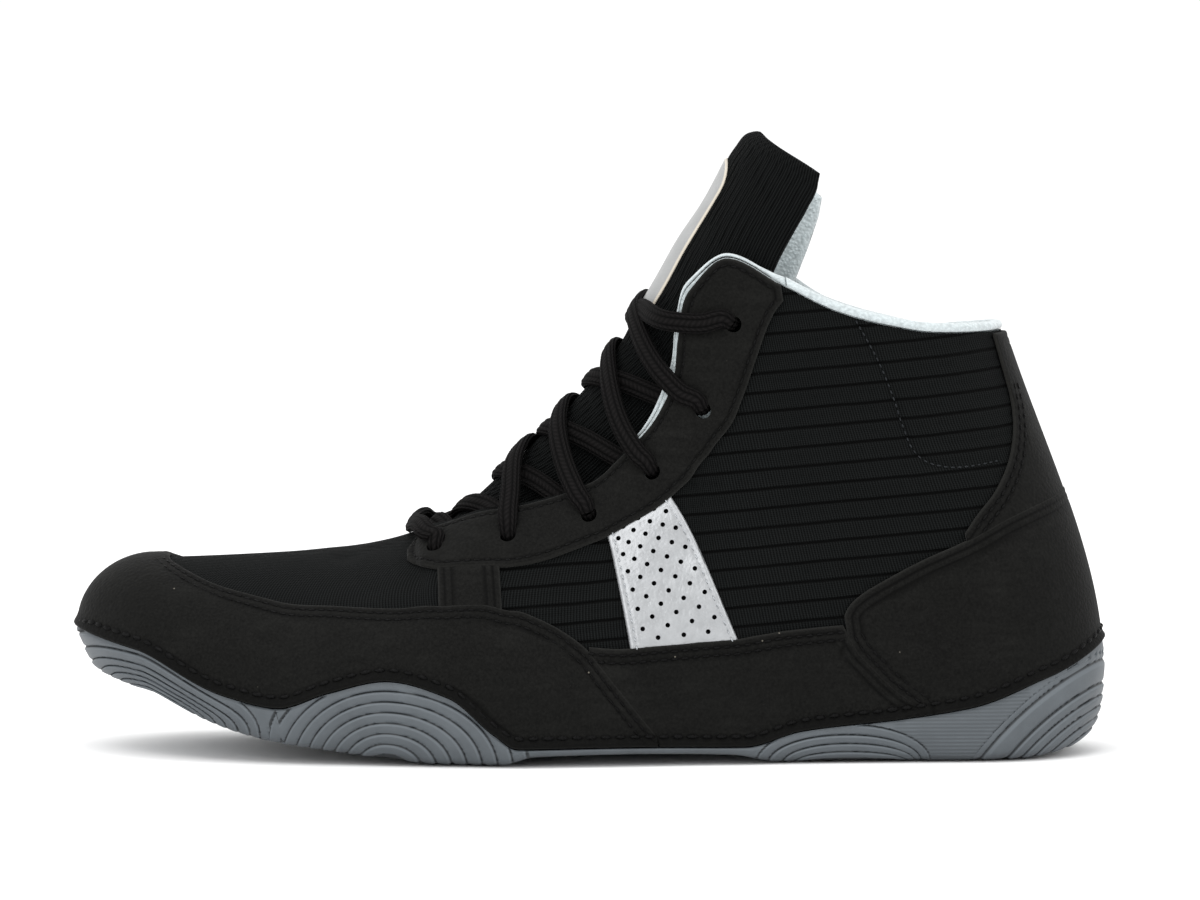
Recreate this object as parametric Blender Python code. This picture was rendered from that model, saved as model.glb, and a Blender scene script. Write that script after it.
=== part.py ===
"""Wrestling shoe, left foot: a hollow knitted upper with nubuck overlays on a moulded cup sole.

Metres, +Z up, the toe towards -X, the outer (lateral) side towards -Y, standing on Z = 0.
Every form is worked out from the sizes below and from short tables whose rows are shares of them.
"""

import math

import bmesh
import bpy
import numpy as np

# Overall sizes
LENGTH = 0.285
BALL_WIDTH = 0.098
COLLAR_HEIGHT = 0.139
CUP_HEIGHT = 0.0343
TONGUE_HEIGHT = 0.1726

# Walls and thicknesses
UPPER_WALL = 0.0024
OVERLAY_WALL = 0.0012
SADDLE_WALL = 0.0009
RIM_WIDTH = 0.0052
BED_SET_IN = 0.0058
INSOLE_SET_IN = 0.0063
INSOLE_WALL = 0.003
TONGUE_WALL = 0.0036
LABEL_WALL = 0.0009
GAP = 0.0004
UPPER_SET_IN = 0.0017

# Lacing
LACE_WIDTH = 0.0050
LACE_THICKNESS = 0.0024
LACE_OVER_WALL = 0.0009
LACE_OVER_TONGUE = 0.0004

# Collar roll and the throat's trims
BINDING_WIDTH = 0.0040
BINDING_HEIGHT = 0.0026
TRIM_HEIGHT = 0.0024
TAB_TRIM_HEIGHT = 0.0010

# How far apart two overlays stop where they meet, as a share of the wall's height
EDGE_STEP = 0.008

LATERAL = -1
MEDIAL = 1
BOTH = (LATERAL, MEDIAL)

# Share along the length, then the centre line, half width and instep ridge as shares of the ball width.
OUTLINE_COLUMNS = ("at", "centre", "half", "ridge")
OUTLINE = (
    (0.00, 0.080, 0.345, 0.080),
    (0.12, 0.070, 0.405, 0.075),
    (0.25, 0.030, 0.475, 0.055),
    (0.36, 0.000, 0.492, 0.030),
    (0.50, -0.018, 0.440, 0.020),
    (0.62, -0.020, 0.385, 0.010),
    (0.75, -0.008, 0.352, 0.000),
    (0.88, 0.000, 0.342, 0.000),
    (1.00, 0.000, 0.335, 0.000),
)
TOE_ROUND = 0.16
HEEL_ROUND = 0.125

# Share along the length, then heights as shares of the cup height.
RIM_COLUMNS = ("at", "rim")
RIM = (
    (0.000, 1.000),
    (0.060, 0.880),
    (0.150, 0.534),
    (0.200, 0.455),
    (0.250, 0.589),
    (0.306, 0.691),
    (0.365, 0.563),
    (0.409, 0.262),
    (0.432, 0.146),
    (0.530, 0.152),
    (0.650, 0.142),
    (0.705, 0.262),
    (0.800, 0.350),
    (0.870, 0.443),
    (0.940, 0.659),
    (1.000, 0.918),
)
BED_COLUMNS = ("at", "under", "floor")
BED = (
    (0.000, 0.610, 0.760),
    (0.060, 0.500, 0.650),
    (0.100, 0.370, 0.515),
    (0.150, 0.222, 0.362),
    (0.200, 0.137, 0.270),
    (0.250, 0.087, 0.222),
    (0.300, 0.034, 0.187),
    (0.335, 0.008, 0.162),
    (0.352, 0.000, 0.154),
    (0.418, 0.000, 0.123),
    (0.450, 0.070, 0.120),
    (0.540, 0.085, 0.124),
    (0.640, 0.068, 0.120),
    (0.685, 0.000, 0.150),
    (0.780, 0.000, 0.220),
    (0.930, 0.000, 0.245),
    (0.970, 0.030, 0.260),
    (1.000, 0.110, 0.275),
)
# Rows of the sole's side wall: share of its height, then how far it is set in at the toe and at the heel.
SIDE_COLUMNS = ("height", "toe", "heel")
SIDE = (
    (0.00, 0.0120, 0.0085),
    (0.04, 0.0080, 0.0046),
    (0.19, 0.0044, 0.0010),
    (0.22, 0.0051, 0.0018),
    (0.44, 0.0022, -0.0007),
    (0.47, 0.0029, 0.0000),
    (0.72, 0.0007, -0.0011),
    (0.75, 0.0014, -0.0003),
    (1.00, 0.0000, 0.0000),
)

# The upper's wall, a row for each section: share along the length at the feather edge, then the top
# edge's shift along the length, half gap (of the ball width) and height (of the collar height), and the
# rise, flare, reach and drop of the two handles that bend the wall between them.
WALL_COLUMNS = ("at", "shift", "half_gap", "top", "rise", "flare", "reach", "drop")
WALL = (
    (0.000, 0.000, 0.000, 0.378, 0.50, 0.000, 0.52, 0.00),
    (0.088, 0.000, 0.000, 0.383, 0.50, 0.004, 0.54, 0.00),
    (0.200, 0.000, 0.000, 0.394, 0.48, 0.008, 0.52, 0.00),
    (0.277, 0.000, 0.000, 0.412, 0.46, 0.010, 0.50, 0.00),
    (0.331, 0.000, 0.000, 0.439, 0.44, 0.012, 0.48, 0.00),
    (0.345, -0.005, 0.082, 0.456, 0.43, 0.012, 0.47, 0.05),
    (0.365, -0.009, 0.125, 0.465, 0.42, 0.012, 0.45, 0.09),
    (0.410, -0.013, 0.185, 0.495, 0.40, 0.012, 0.42, 0.11),
    (0.460, -0.016, 0.230, 0.513, 0.38, 0.012, 0.40, 0.13),
    (0.520, -0.017, 0.262, 0.555, 0.36, 0.010, 0.40, 0.13),
    (0.560, -0.026, 0.272, 0.612, 0.35, 0.008, 0.40, 0.15),
    (0.590, -0.030, 0.278, 0.671, 0.34, 0.006, 0.40, 0.17),
    (0.620, -0.040, 0.282, 0.763, 0.33, 0.004, 0.36, 0.20),
    (0.650, -0.063, 0.284, 0.871, 0.32, 0.002, 0.33, 0.23),
    (0.675, -0.077, 0.288, 0.943, 0.32, 0.000, 0.30, 0.26),
    (0.710, -0.075, 0.296, 1.000, 0.32, -0.004, 0.26, 0.28),
    (0.760, -0.068, 0.308, 0.943, 0.32, -0.006, 0.24, 0.30),
    (0.800, -0.061, 0.312, 0.896, 0.32, -0.006, 0.24, 0.30),
    (0.850, -0.059, 0.304, 0.866, 0.32, -0.004, 0.26, 0.31),
    (0.900, -0.063, 0.268, 0.850, 0.32, 0.000, 0.28, 0.32),
    (0.945, -0.075, 0.205, 0.847, 0.33, 0.006, 0.31, 0.33),
    (0.980, -0.086, 0.124, 0.846, 0.33, 0.010, 0.33, 0.33),
    (1.000, -0.094, 0.000, 0.845, 0.33, 0.012, 0.33, 0.33),
)
TOE_DOME = 0.07
THROAT_START = 0.331
# How much lower the collar runs on the medial side, as a share of the collar height.
DROP_COLUMNS = ("at", "drop")
MEDIAL_DROP = (
    (0.000, 0.000),
    (0.730, 0.000),
    (0.800, 0.024),
    (0.900, 0.026),
    (0.950, 0.016),
    (1.000, 0.000),
)


def smooth(columns, table, name):
    """The named column as a smooth function of the angle round the outline, level at toe and heel."""
    rows = np.array(table, float)
    return hermite(angle_at(rows[:, 0]), rows[:, columns.index(name)], level_ends=True)


def hermite(xs, ys, level_ends=False):
    """A smooth curve through the points that never overshoots them."""
    steps = np.diff(xs)
    slopes = np.diff(ys) / steps
    tangents = np.empty(len(xs))
    tangents[0] = 0.0 if level_ends else slopes[0]
    tangents[-1] = 0.0 if level_ends else slopes[-1]
    for i in range(1, len(xs) - 1):
        before, after = slopes[i - 1], slopes[i]
        if before * after <= 0:
            tangents[i] = 0.0
            continue
        w1 = 2 * steps[i] + steps[i - 1]
        w2 = steps[i] + 2 * steps[i - 1]
        tangents[i] = (w1 + w2) / (w1 / before + w2 / after)

    def value(x):
        x = np.clip(np.asarray(x, float), xs[0], xs[-1])
        i = np.clip(np.searchsorted(xs, x, side="right") - 1, 0, len(xs) - 2)
        h = steps[i]
        s = (x - xs[i]) / h
        return (
            ys[i] * (1 + 2 * s) * (1 - s) ** 2
            + tangents[i] * h * s * (1 - s) ** 2
            + ys[i + 1] * s**2 * (3 - 2 * s)
            + tangents[i + 1] * h * s**2 * (s - 1)
        )

    return value


def angle_at(share):
    """The angle round the outline, 0 at the toe and pi at the heel, of a share along the length."""
    return np.arccos(np.clip(1 - 2 * np.asarray(share, float), -1, 1))


def share_at(angle):
    return (1 - np.cos(angle)) / 2


outline_centre = smooth(OUTLINE_COLUMNS, OUTLINE, "centre")
outline_half = smooth(OUTLINE_COLUMNS, OUTLINE, "half")
outline_ridge = smooth(OUTLINE_COLUMNS, OUTLINE, "ridge")
rim_share = smooth(RIM_COLUMNS, RIM, "rim")
under_share = smooth(BED_COLUMNS, BED, "under")
floor_share = smooth(BED_COLUMNS, BED, "floor")
wall_column = {name: smooth(WALL_COLUMNS, WALL, name) for name in WALL_COLUMNS[1:]}
medial_drop = smooth(DROP_COLUMNS, MEDIAL_DROP, "drop")


def rounded(distance, reach):
    """A quarter ellipse: 0 at distance 0, 1 from distance reach on."""
    inside = np.clip(distance / reach, 0, 1)
    return np.sqrt(np.clip(1 - (1 - inside) ** 2, 0, 1))


def rim_height(angle):
    return CUP_HEIGHT * rim_share(angle)


def outline(side, angle):
    """The rubber rim's outer edge in plan, as x and y."""
    share = share_at(angle)
    ends = rounded(share, TOE_ROUND) * rounded(1 - share, HEEL_ROUND)
    x = (share - 0.5) * LENGTH
    y = BALL_WIDTH * (outline_centre(angle) + side * outline_half(angle) * ends)
    return x, y


def outward(side, angle):
    """The outline's outward direction in plan."""
    step = 1e-4
    low = np.clip(angle - step, 0, math.pi)
    high = np.clip(angle + step, 0, math.pi)
    x0, y0 = outline(side, low)
    x1, y1 = outline(side, high)
    dx, dy = x1 - x0, y1 - y0
    size = np.hypot(dx, dy)
    return -side * dy / size, side * dx / size


def sole_point(side, angle, set_in, height):
    x, y = outline(side, angle)
    nx, ny = outward(side, angle)
    return np.stack([x - nx * set_in, y - ny * set_in, height + 0 * x], axis=-1)


def wall_point(side, angle, rise):
    """A point of the upper's outer surface: rise 0 at the feather edge, 1 at the ridge, throat or collar."""
    angle, rise = np.broadcast_arrays(np.asarray(angle, float), np.asarray(rise, float))
    share = share_at(angle)
    foot = sole_point(side, angle, UPPER_SET_IN, rim_height(angle) + GAP)
    get = {name: column(angle) for name, column in wall_column.items()}
    tip = rim_height(0.0) + GAP
    dome = rounded(share, TOE_DOME)
    top = np.empty_like(foot)
    gap_here = BALL_WIDTH * np.where(share > THROAT_START, get["half_gap"], 0.0)
    toe_pull = UPPER_SET_IN * (1 - share)
    heel_pull = UPPER_SET_IN * share
    top[..., 0] = (share - 0.5 + get["shift"]) * LENGTH + toe_pull - heel_pull
    top[..., 1] = BALL_WIDTH * outline_ridge(angle) + side * gap_here
    drop = medial_drop(angle) if side == MEDIAL else 0.0
    top[..., 2] = tip + (COLLAR_HEIGHT * (get["top"] - drop) - tip) * dome
    nx, ny = outward(side, angle)
    flare = BALL_WIDTH * get["flare"] * dome
    height = top[..., 2] - foot[..., 2]
    low = foot.copy()
    low[..., 0] += nx * flare + 0.15 * (top[..., 0] - foot[..., 0])
    low[..., 1] += ny * flare
    low[..., 2] += get["rise"] * height
    high = top.copy()
    high[..., 0] += get["reach"] * (foot[..., 0] - top[..., 0])
    high[..., 1] += get["reach"] * (foot[..., 1] - top[..., 1])
    high[..., 2] -= get["drop"] * height
    r = rise[..., None]
    return (
        foot * (1 - r) ** 3
        + 3 * low * r * (1 - r) ** 2
        + 3 * high * r**2 * (1 - r)
        + top * r**3
    )


def wall_normal(side, angle, rise):
    """The outward unit normal of the upper's outer surface."""
    angle, rise = np.broadcast_arrays(np.asarray(angle, float), np.asarray(rise, float))
    step = 2e-3
    a0, a1 = np.clip(angle, 0.02, math.pi) - step, np.clip(angle, 0.02, math.pi)
    r0, r1 = np.clip(rise - step, 0, 1), np.clip(rise + step, 0, 1)
    mid = np.clip(angle, 0.02, math.pi)
    along = wall_point(side, np.minimum(a1 + step, math.pi), rise) - wall_point(side, a0, rise)
    up = wall_point(side, mid, r1) - wall_point(side, mid, r0)
    normal = np.cross(along, up) * -side
    normal /= np.linalg.norm(normal, axis=-1, keepdims=True)
    tip = (angle < 1e-6)[..., None]
    normal = np.where(tip, np.array([-1.0, 0.0, 0.0]), normal)
    seam = (angle > math.pi - 1e-6) | ((rise > 1 - 1e-9) & (share_at(angle) < THROAT_START + 1e-9))
    normal[..., 1] = np.where(seam, 0.0, normal[..., 1])
    normal[..., 2] *= np.clip(rise / 0.09, 0, 1)
    return normal / np.linalg.norm(normal, axis=-1, keepdims=True)


def skin(side, angle, rise, offset):
    """The upper's surface moved out by offset, or in where offset is negative."""
    offset = np.asarray(offset, float)[..., None]
    return wall_point(side, angle, rise) + wall_normal(side, angle, rise) * offset


def stations(start, end, extra=()):
    """The angles of the upper's sections between two shares along the length, with the shares in extra."""
    low, high = float(angle_at(start)), float(angle_at(end))
    fixed = [low, *(float(angle_at(share)) for share in extra), high]
    own = [a for a in UPPER_ANGLES if low < a < high and min(abs(a - f) for f in fixed) > 0.02]
    return np.array(sorted(fixed + own))


# Tongue: share of its length, centre line as shares of the shoe's length and the tongue's height, the
# section's lean in degrees below level, its half width and depth as shares of the ball width, and how far
# round the section the lateral and the medial wing go, in degrees.
TONGUE_COLUMNS = ("at", "along", "height", "centre", "lean", "half", "depth", "lateral", "medial")
TONGUE = (
    (0.000, -0.2350, 0.294, 0.040, 66.0, 0.145, 0.105, 52.0, 52.0),
    (0.060, -0.2020, 0.310, 0.037, 66.0, 0.158, 0.115, 60.0, 60.0),
    (0.120, -0.1720, 0.327, 0.033, 62.0, 0.165, 0.140, 64.0, 64.0),
    (0.180, -0.1450, 0.355, 0.029, 57.0, 0.172, 0.180, 66.0, 66.0),
    (0.240, -0.1160, 0.399, 0.026, 52.0, 0.178, 0.250, 68.0, 68.0),
    (0.310, -0.0830, 0.450, 0.023, 48.0, 0.184, 0.315, 70.0, 70.0),
    (0.390, -0.0480, 0.505, 0.020, 45.0, 0.194, 0.355, 72.0, 72.0),
    (0.480, -0.0100, 0.572, 0.015, 42.0, 0.210, 0.350, 74.0, 76.0),
    (0.570, 0.0220, 0.638, 0.009, 37.0, 0.228, 0.325, 79.0, 86.0),
    (0.650, 0.0470, 0.706, 0.004, 34.0, 0.245, 0.300, 86.0, 100.0),
    (0.730, 0.0690, 0.768, 0.001, 33.0, 0.257, 0.280, 91.0, 111.0),
    (0.800, 0.0884, 0.826, 0.000, 33.0, 0.264, 0.268, 91.0, 111.0),
    (0.870, 0.1125, 0.890, 0.000, 33.0, 0.274, 0.270, 87.0, 106.0),
    (0.930, 0.1315, 0.942, 0.000, 33.0, 0.290, 0.270, 86.0, 101.0),
    (0.970, 0.1430, 0.973, 0.000, 33.0, 0.294, 0.262, 87.0, 98.0),
    (0.987, 0.1530, 0.993, 0.000, 33.0, 0.288, 0.236, 90.0, 96.0),
    (1.000, 0.1690, 1.000, 0.000, 33.0, 0.276, 0.190, 90.0, 92.0),
)
# How much lower the medial wing's corner is, as a share of the tongue's length
MEDIAL_FALL = 0.03


def tongue_columns():
    rows = np.array(TONGUE, float)
    return {
        name: hermite(rows[:, 0], rows[:, i]) for i, name in enumerate(TONGUE_COLUMNS) if i
    }


tongue_column = tongue_columns()


def tongue_point(along, across):
    """The tongue's front surface: along 0 to 1 from foot to top, across -1 to 1 from wing to wing."""
    along, across = np.broadcast_arrays(np.asarray(along, float), np.asarray(across, float))
    along = along * (1 - MEDIAL_FALL * np.clip(across, 0, 1) ** 2)
    get = {name: column(along) for name, column in tongue_column.items()}
    lean = np.radians(get["lean"])
    turn = np.radians(np.where(across < 0, get["lateral"], get["medial"])) * across
    back = BALL_WIDTH * get["depth"] * (1 - np.cos(turn))
    return np.stack(
        [
            LENGTH * get["along"] + back * np.cos(lean),
            BALL_WIDTH * (get["centre"] + get["half"] * np.sin(turn)),
            TONGUE_HEIGHT * get["height"] - back * np.sin(lean),
        ],
        axis=-1,
    )


def tongue_skin(along, across, offset):
    """The tongue's surface moved out by offset along its normal."""
    along, across = np.broadcast_arrays(np.asarray(along, float), np.asarray(across, float))
    step = 2e-3
    after, before = np.clip(along + step, 0, 1), np.clip(along - step, 0, 1)
    up = tongue_point(after, across) - tongue_point(before, across)
    over = tongue_point(along, across + step) - tongue_point(along, across - step)
    normal = np.cross(up, over)
    normal /= np.linalg.norm(normal, axis=-1, keepdims=True)
    return tongue_point(along, across) + normal * np.asarray(offset, float)[..., None]


def upper_angles(front, back):
    throat = angle_at(THROAT_START)
    return np.concatenate([np.linspace(0, throat, front)[:-1], np.linspace(throat, math.pi, back)])


# Overlay edges on the upper: share along the length at the feather edge, then how far up the wall from the
# feather edge (0) to the ridge, throat or collar edge (1).
TOE_RAND_TOP = (
    (0.088, 0.860),
    (0.098, 0.760),
    (0.110, 0.693),
    (0.136, 0.608),
    (0.190, 0.528),
    (0.250, 0.450),
    (0.318, 0.382),
    (0.360, 0.412),
    (0.409, 0.470),
    (0.434, 0.473),
    (0.460, 0.438),
    (0.499, 0.335),
    (0.528, 0.203),
    (0.547, 0.118),
    (0.566, 0.036),
)
SIDE_PANEL_TOP = (
    (0.499, 0.335),
    (0.539, 0.307),
    (0.578, 0.292),
    (0.664, 0.235),
    (0.710, 0.211),
    (0.757, 0.226),
)
COUNTER_FRONT = (
    (0.757, 0.215),
    (0.764, 0.170),
    (0.779, 0.122),
    (0.796, 0.072),
    (0.818, 0.018),
    (0.824, 0.000),
)
COUNTER_TOP = (
    (0.757, 0.235),
    (0.763, 0.262),
    (0.779, 0.300),
    (0.812, 0.350),
    (0.851, 0.400),
    (0.892, 0.438),
    (0.930, 0.465),
    (0.965, 0.480),
    (1.000, 0.486),
)
STRIP_FRONT = (
    (0.888, 0.452),
    (0.905, 0.496),
    (0.929, 0.545),
    (0.948, 0.600),
    (0.965, 0.675),
    (0.974, 0.740),
    (0.980, 0.840),
    (0.981, 0.920),
    (0.980, 0.985),
)
EYESTAY_INNER = (
    (0.322, 0.745),
    (0.334, 0.820),
    (0.348, 0.875),
    (0.366, 0.918),
    (0.387, 0.935),
    (0.432, 0.950),
    (0.480, 0.966),
    (0.540, 0.974),
    (0.582, 0.978),
    (0.604, 0.966),
    (0.631, 0.948),
    (0.650, 0.964),
    (0.676, 0.980),
    (0.710, 0.984),
    (0.758, 0.984),
)
EYESTAY_OUTER = (
    (0.322, 0.688),
    (0.330, 0.642),
    (0.341, 0.614),
    (0.356, 0.606),
    (0.384, 0.618),
    (0.428, 0.640),
    (0.464, 0.655),
    (0.520, 0.682),
    (0.564, 0.680),
    (0.595, 0.674),
    (0.630, 0.650),
    (0.662, 0.632),
    (0.686, 0.647),
    (0.702, 0.688),
    (0.722, 0.776),
    (0.736, 0.855),
    (0.747, 0.916),
    (0.757, 0.962),
)
GUSSET_SPAN = (0.357, 0.421)
# Shares along the length where two overlays meet on a slant, so that both have a section there.
RAND_REAR = (0.5045, 0.519, 0.535, 0.551)
COUNTER_REAR = (0.768, 0.779, 0.796, 0.808)
# Eyelets: share along the length, how far up the wall, and where along the throat edge their lace passes.
EYELETS = (
    (0.355, 0.735, 0.372),
    (0.433, 0.782, 0.442),
    (0.514, 0.800, 0.512),
    (0.585, 0.800, 0.583),
    (0.662, 0.722, 0.625),
    (0.706, 0.843, 0.652),
)
# Perforated silver saddle between the side panel and the eyestay: its front and back edges at foot and top.
SADDLE_COLUMNS = ("up", "front", "back")
SADDLE = (
    (0.0, 0.545, 0.655),
    (1.0, 0.530, 0.600),
)
LABEL_ROWS = (0.0, 0.25, 0.58, 0.86, 1.0)
LABEL_TOP = 0.955
TONGUE_ROWS = (
    (0.0, 0.07, 0.14, 0.20, 0.26, 0.32, 0.38, 0.45)
    + (0.53, 0.61, 0.69, 0.77, 0.85, 0.92, 0.965, 0.987, 1.0)
)


def edge_line(table):
    """How far up the wall an edge runs, as a function of the angle round the outline."""
    rows = np.array(table, float)
    return hermite(angle_at(rows[:, 0]), rows[:, 1])


rand_top = edge_line(TOE_RAND_TOP)
side_panel_top = edge_line(SIDE_PANEL_TOP)
counter_front = edge_line(COUNTER_FRONT)
counter_top = edge_line(COUNTER_TOP)
strip_front = edge_line(STRIP_FRONT)
eyestay_inner = edge_line(EYESTAY_INNER)
eyestay_outer = edge_line(EYESTAY_OUTER)


UPPER_ANGLES = upper_angles(15, 30)
UPPER_RISES = np.array([0, 0.12, 0.28, 0.46, 0.64, 0.82, 1.0])


class Form:
    """Points and faces of one solid while it is put together."""

    def __init__(self):
        self.points = []
        self.faces = []

    def add(self, block):
        start = len(self.points)
        self.points.extend(tuple(float(v) for v in p) for p in block.reshape(-1, 3))
        return np.arange(start, len(self.points)).reshape(block.shape[:-1])

    def strip(self, first, second, skip=None):
        for i in range(len(first) - 1):
            if skip is not None and skip[i]:
                continue
            self.faces.append((int(first[i]), int(first[i + 1]), int(second[i + 1]), int(second[i])))

    def cover(self, grid):
        for low, high in zip(grid, grid[1:]):
            self.strip(low, high)

    def plate(self, outer, inner, low=True, high=True, start=True, end=True, closed=None):
        """A sheet with thickness from two grids of points, with the edges asked for closed over."""
        out, inn = self.add(outer), self.add(inner)
        self.cover(out)
        self.cover(inn)
        if low:
            self.strip(out[0], inn[0])
        if high:
            self.strip(out[-1], inn[-1], closed)
        if start:
            self.strip(out[:, 0], inn[:, 0])
        if end:
            self.strip(out[:, -1], inn[:, -1])

    def solid(self, name, colour, roughness=0.8):
        mesh = bpy.data.meshes.new(name)
        mesh.from_pydata(self.points, [], self.faces)
        work = bmesh.new()
        work.from_mesh(mesh)
        bmesh.ops.remove_doubles(work, verts=work.verts, dist=1e-5)
        bmesh.ops.dissolve_degenerate(work, edges=work.edges, dist=1e-6)
        loose = [v for v in work.verts if not v.link_faces]
        bmesh.ops.delete(work, geom=loose, context="VERTS")
        bmesh.ops.recalc_face_normals(work, faces=work.faces)
        work.to_mesh(mesh)
        work.free()
        item = bpy.data.objects.new(name, mesh)
        bpy.context.scene.collection.objects.link(item)
        item.data.materials.append(plain_material(name, colour, roughness))
        return item


def plain_material(name, colour, roughness):
    material = bpy.data.materials.new(name)
    material.use_nodes = True
    shader = material.node_tree.nodes["Principled BSDF"]
    shader.inputs["Base Color"].default_value = (*colour, 1)
    shader.inputs["Roughness"].default_value = roughness
    return material


def overlay(form, side, angles, low, high, steps, start=True, end=True, closed=None):
    """A sheet over the upper between two heights on its wall."""
    steps = np.linspace(0, 1, steps)[:, None] if isinstance(steps, int) else steps[:, None]
    rise = low[None] + (high - low)[None] * steps
    inner = skin(side, angles[None], rise, GAP)
    outer = skin(side, angles[None], rise, GAP + OVERLAY_WALL)
    form.plate(outer, inner, start=start, end=end, closed=closed)


def make_outsole():
    angles = UPPER_ANGLES
    share = share_at(angles)
    under, floor, rim = (CUP_HEIGHT * f(angles) for f in (under_share, floor_share, rim_share))
    toe, heel = SIDE[0][1:]
    mids = {}
    for row, depth, height in (("under", toe + (heel - toe) * share, under), ("floor", BED_SET_IN, floor)):
        ends = [sole_point(side, angles, depth, height) for side in BOTH]
        mids[row] = (ends[0] + ends[1]) / 2
    form = Form()
    for side in BOTH:
        section = [mids["under"]]
        for level, toe, heel in SIDE:
            set_in = toe + (heel - toe) * share
            section.append(sole_point(side, angles, set_in, under + (rim - under) * level))
        section.append(sole_point(side, angles, RIM_WIDTH, rim))
        section.append(sole_point(side, angles, BED_SET_IN, floor))
        section.append(mids["floor"])
        form.cover(form.add(np.stack(section)))
    return form.solid("outsole", (0.16, 0.18, 0.19), 0.6)


def make_insole():
    angles = np.linspace(0, math.pi, 29)
    floor = CUP_HEIGHT * floor_share(angles) + GAP
    ends = [sole_point(side, angles, INSOLE_SET_IN, floor) for side in BOTH]
    mid = (ends[0] + ends[1]) / 2
    lift = np.array([0, 0, INSOLE_WALL])
    form = Form()
    for edge in ends:
        form.cover(form.add(np.stack([mid, edge, edge + lift, mid + lift])))
    return form.solid("insole", (0.30, 0.34, 0.38), 0.9)


def make_upper():
    angles = UPPER_ANGLES
    closed = angles[1:] <= angle_at(THROAT_START) + 1e-9
    rise = UPPER_RISES[:, None]
    form = Form()
    for side in BOTH:
        form.plate(
            skin(side, angles[None], rise, 0.0),
            skin(side, angles[None], rise, -UPPER_WALL),
            start=False,
            end=False,
            closed=closed,
        )
    return form.solid("upper", (0.02, 0.02, 0.022), 0.9)


def make_toe_rand():
    angles = np.concatenate([stations(0.0, 0.0845), stations(0.0885, 0.566, RAND_REAR)])
    high = np.where(share_at(angles) < 0.086, 1.0, rand_top(angles))
    closed = share_at(angles[1:]) < 0.086
    form = Form()
    for side in BOTH:
        overlay(form, side, angles, 0 * angles, high, UPPER_RISES, start=False, closed=closed)
    return form.solid("toe_rand", (0.025, 0.025, 0.027), 0.85)


def make_side_panel(side, name):
    angles = stations(0.5045, 0.8175, (*RAND_REAR[1:], 0.566, 0.569, 0.757, 0.7595, *COUNTER_REAR))
    share = share_at(angles)
    low = np.where(share < 0.5665, rand_top(angles) + EDGE_STEP, 0.0)
    high = np.where(share > 0.757, counter_front(angles) - EDGE_STEP, side_panel_top(angles))
    high = np.maximum(high, low + EDGE_STEP / 2)
    form = Form()
    overlay(form, side, angles, low, high, 4)
    return form.solid(name, (0.025, 0.025, 0.027), 0.85)


def make_heel_counter():
    angles = stations(0.7595, 1.0, (*COUNTER_REAR, 0.824))
    low = np.where(share_at(angles) < 0.8235, counter_front(angles), 0.0)
    form = Form()
    for side in BOTH:
        overlay(form, side, angles, low, counter_top(angles), 4, end=False)
    return form.solid("heel_counter", (0.025, 0.025, 0.027), 0.85)


def make_heel_strip():
    angles = np.concatenate([stations(0.895, 0.980), stations(0.983, 1.0)])
    low = counter_top(angles) + 0.012
    high = np.where(share_at(angles) < 0.9805, strip_front(angles), 0.985)
    form = Form()
    for side in BOTH:
        overlay(form, side, angles, low, high, 4, end=False)
    return form.solid("heel_strip", (0.025, 0.025, 0.027), 0.85)


def make_eyestay(side, name):
    angles = stations(0.3225, 0.7565)
    form = Form()
    overlay(form, side, angles, eyestay_outer(angles), eyestay_inner(angles), 6)
    return form.solid(name, (0.025, 0.025, 0.027), 0.85)


def make_gusset(side, name):
    angles = stations(*GUSSET_SPAN)
    form = Form()
    overlay(form, side, angles, rand_top(angles) + EDGE_STEP, eyestay_outer(angles) - EDGE_STEP, 4)
    return form.solid(name, (0.025, 0.025, 0.027), 0.85)


def saddle_grid(along, up):
    """Angle and rise on the saddle panel: along 0 to 1 from front to back, up 0 to 1 from foot to top."""
    columns = dict(zip(SADDLE_COLUMNS, np.array(SADDLE).T))
    front = np.interp(up, columns["up"], angle_at(columns["front"]))
    back = np.interp(up, columns["up"], angle_at(columns["back"]))
    angle = front + (back - front) * along
    low, high = side_panel_top(angle) + EDGE_STEP, eyestay_outer(angle) - EDGE_STEP
    return angle, low + (high - low) * up


def make_saddle(side, name):
    angle, rise = saddle_grid(*np.meshgrid(np.linspace(0, 1, 6), np.linspace(0, 1, 7)))
    form = Form()
    form.plate(skin(side, angle, rise, GAP + SADDLE_WALL), skin(side, angle, rise, GAP))
    return form.solid(name, (0.6, 0.61, 0.62), 0.4)


def roll(form, side, angles, width, height, ends):
    """A padded roll standing on the upper's top edge."""
    reach = np.array([-0.5, -0.42, 0.0, 0.42, 0.5, 0.0]) * width
    level = np.array([0.12, 0.70, 1.0, 0.70, 0.12, 0.0])
    tall = (np.zeros(len(angles)) + height)[:, None]
    edge = wall_point(side, angles, 1.0)
    normal = wall_normal(side, angles, 1.0)
    below = wall_point(side, angles, 0.985)
    up = edge - below
    up /= np.linalg.norm(up, axis=-1, keepdims=True)
    middle = edge - normal * (UPPER_WALL / 2) + up * (1.5 * GAP)
    section = [middle + normal * r + up * tall * h for r, h in zip(reach, level)]
    grid = form.add(np.stack(section + section[:1]))
    form.cover(grid)
    for column, wanted in ((0, ends[0]), (-1, ends[1])):
        if wanted:
            form.faces.append(tuple(int(n) for n in grid[:-1, column]))


def make_collar_binding():
    form = Form()
    for side in BOTH:
        roll(form, side, stations(0.762, 1.0), BINDING_WIDTH, BINDING_HEIGHT, (True, False))
    return form.solid("collar_binding", (0.6, 0.66, 0.7), 0.95)


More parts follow.
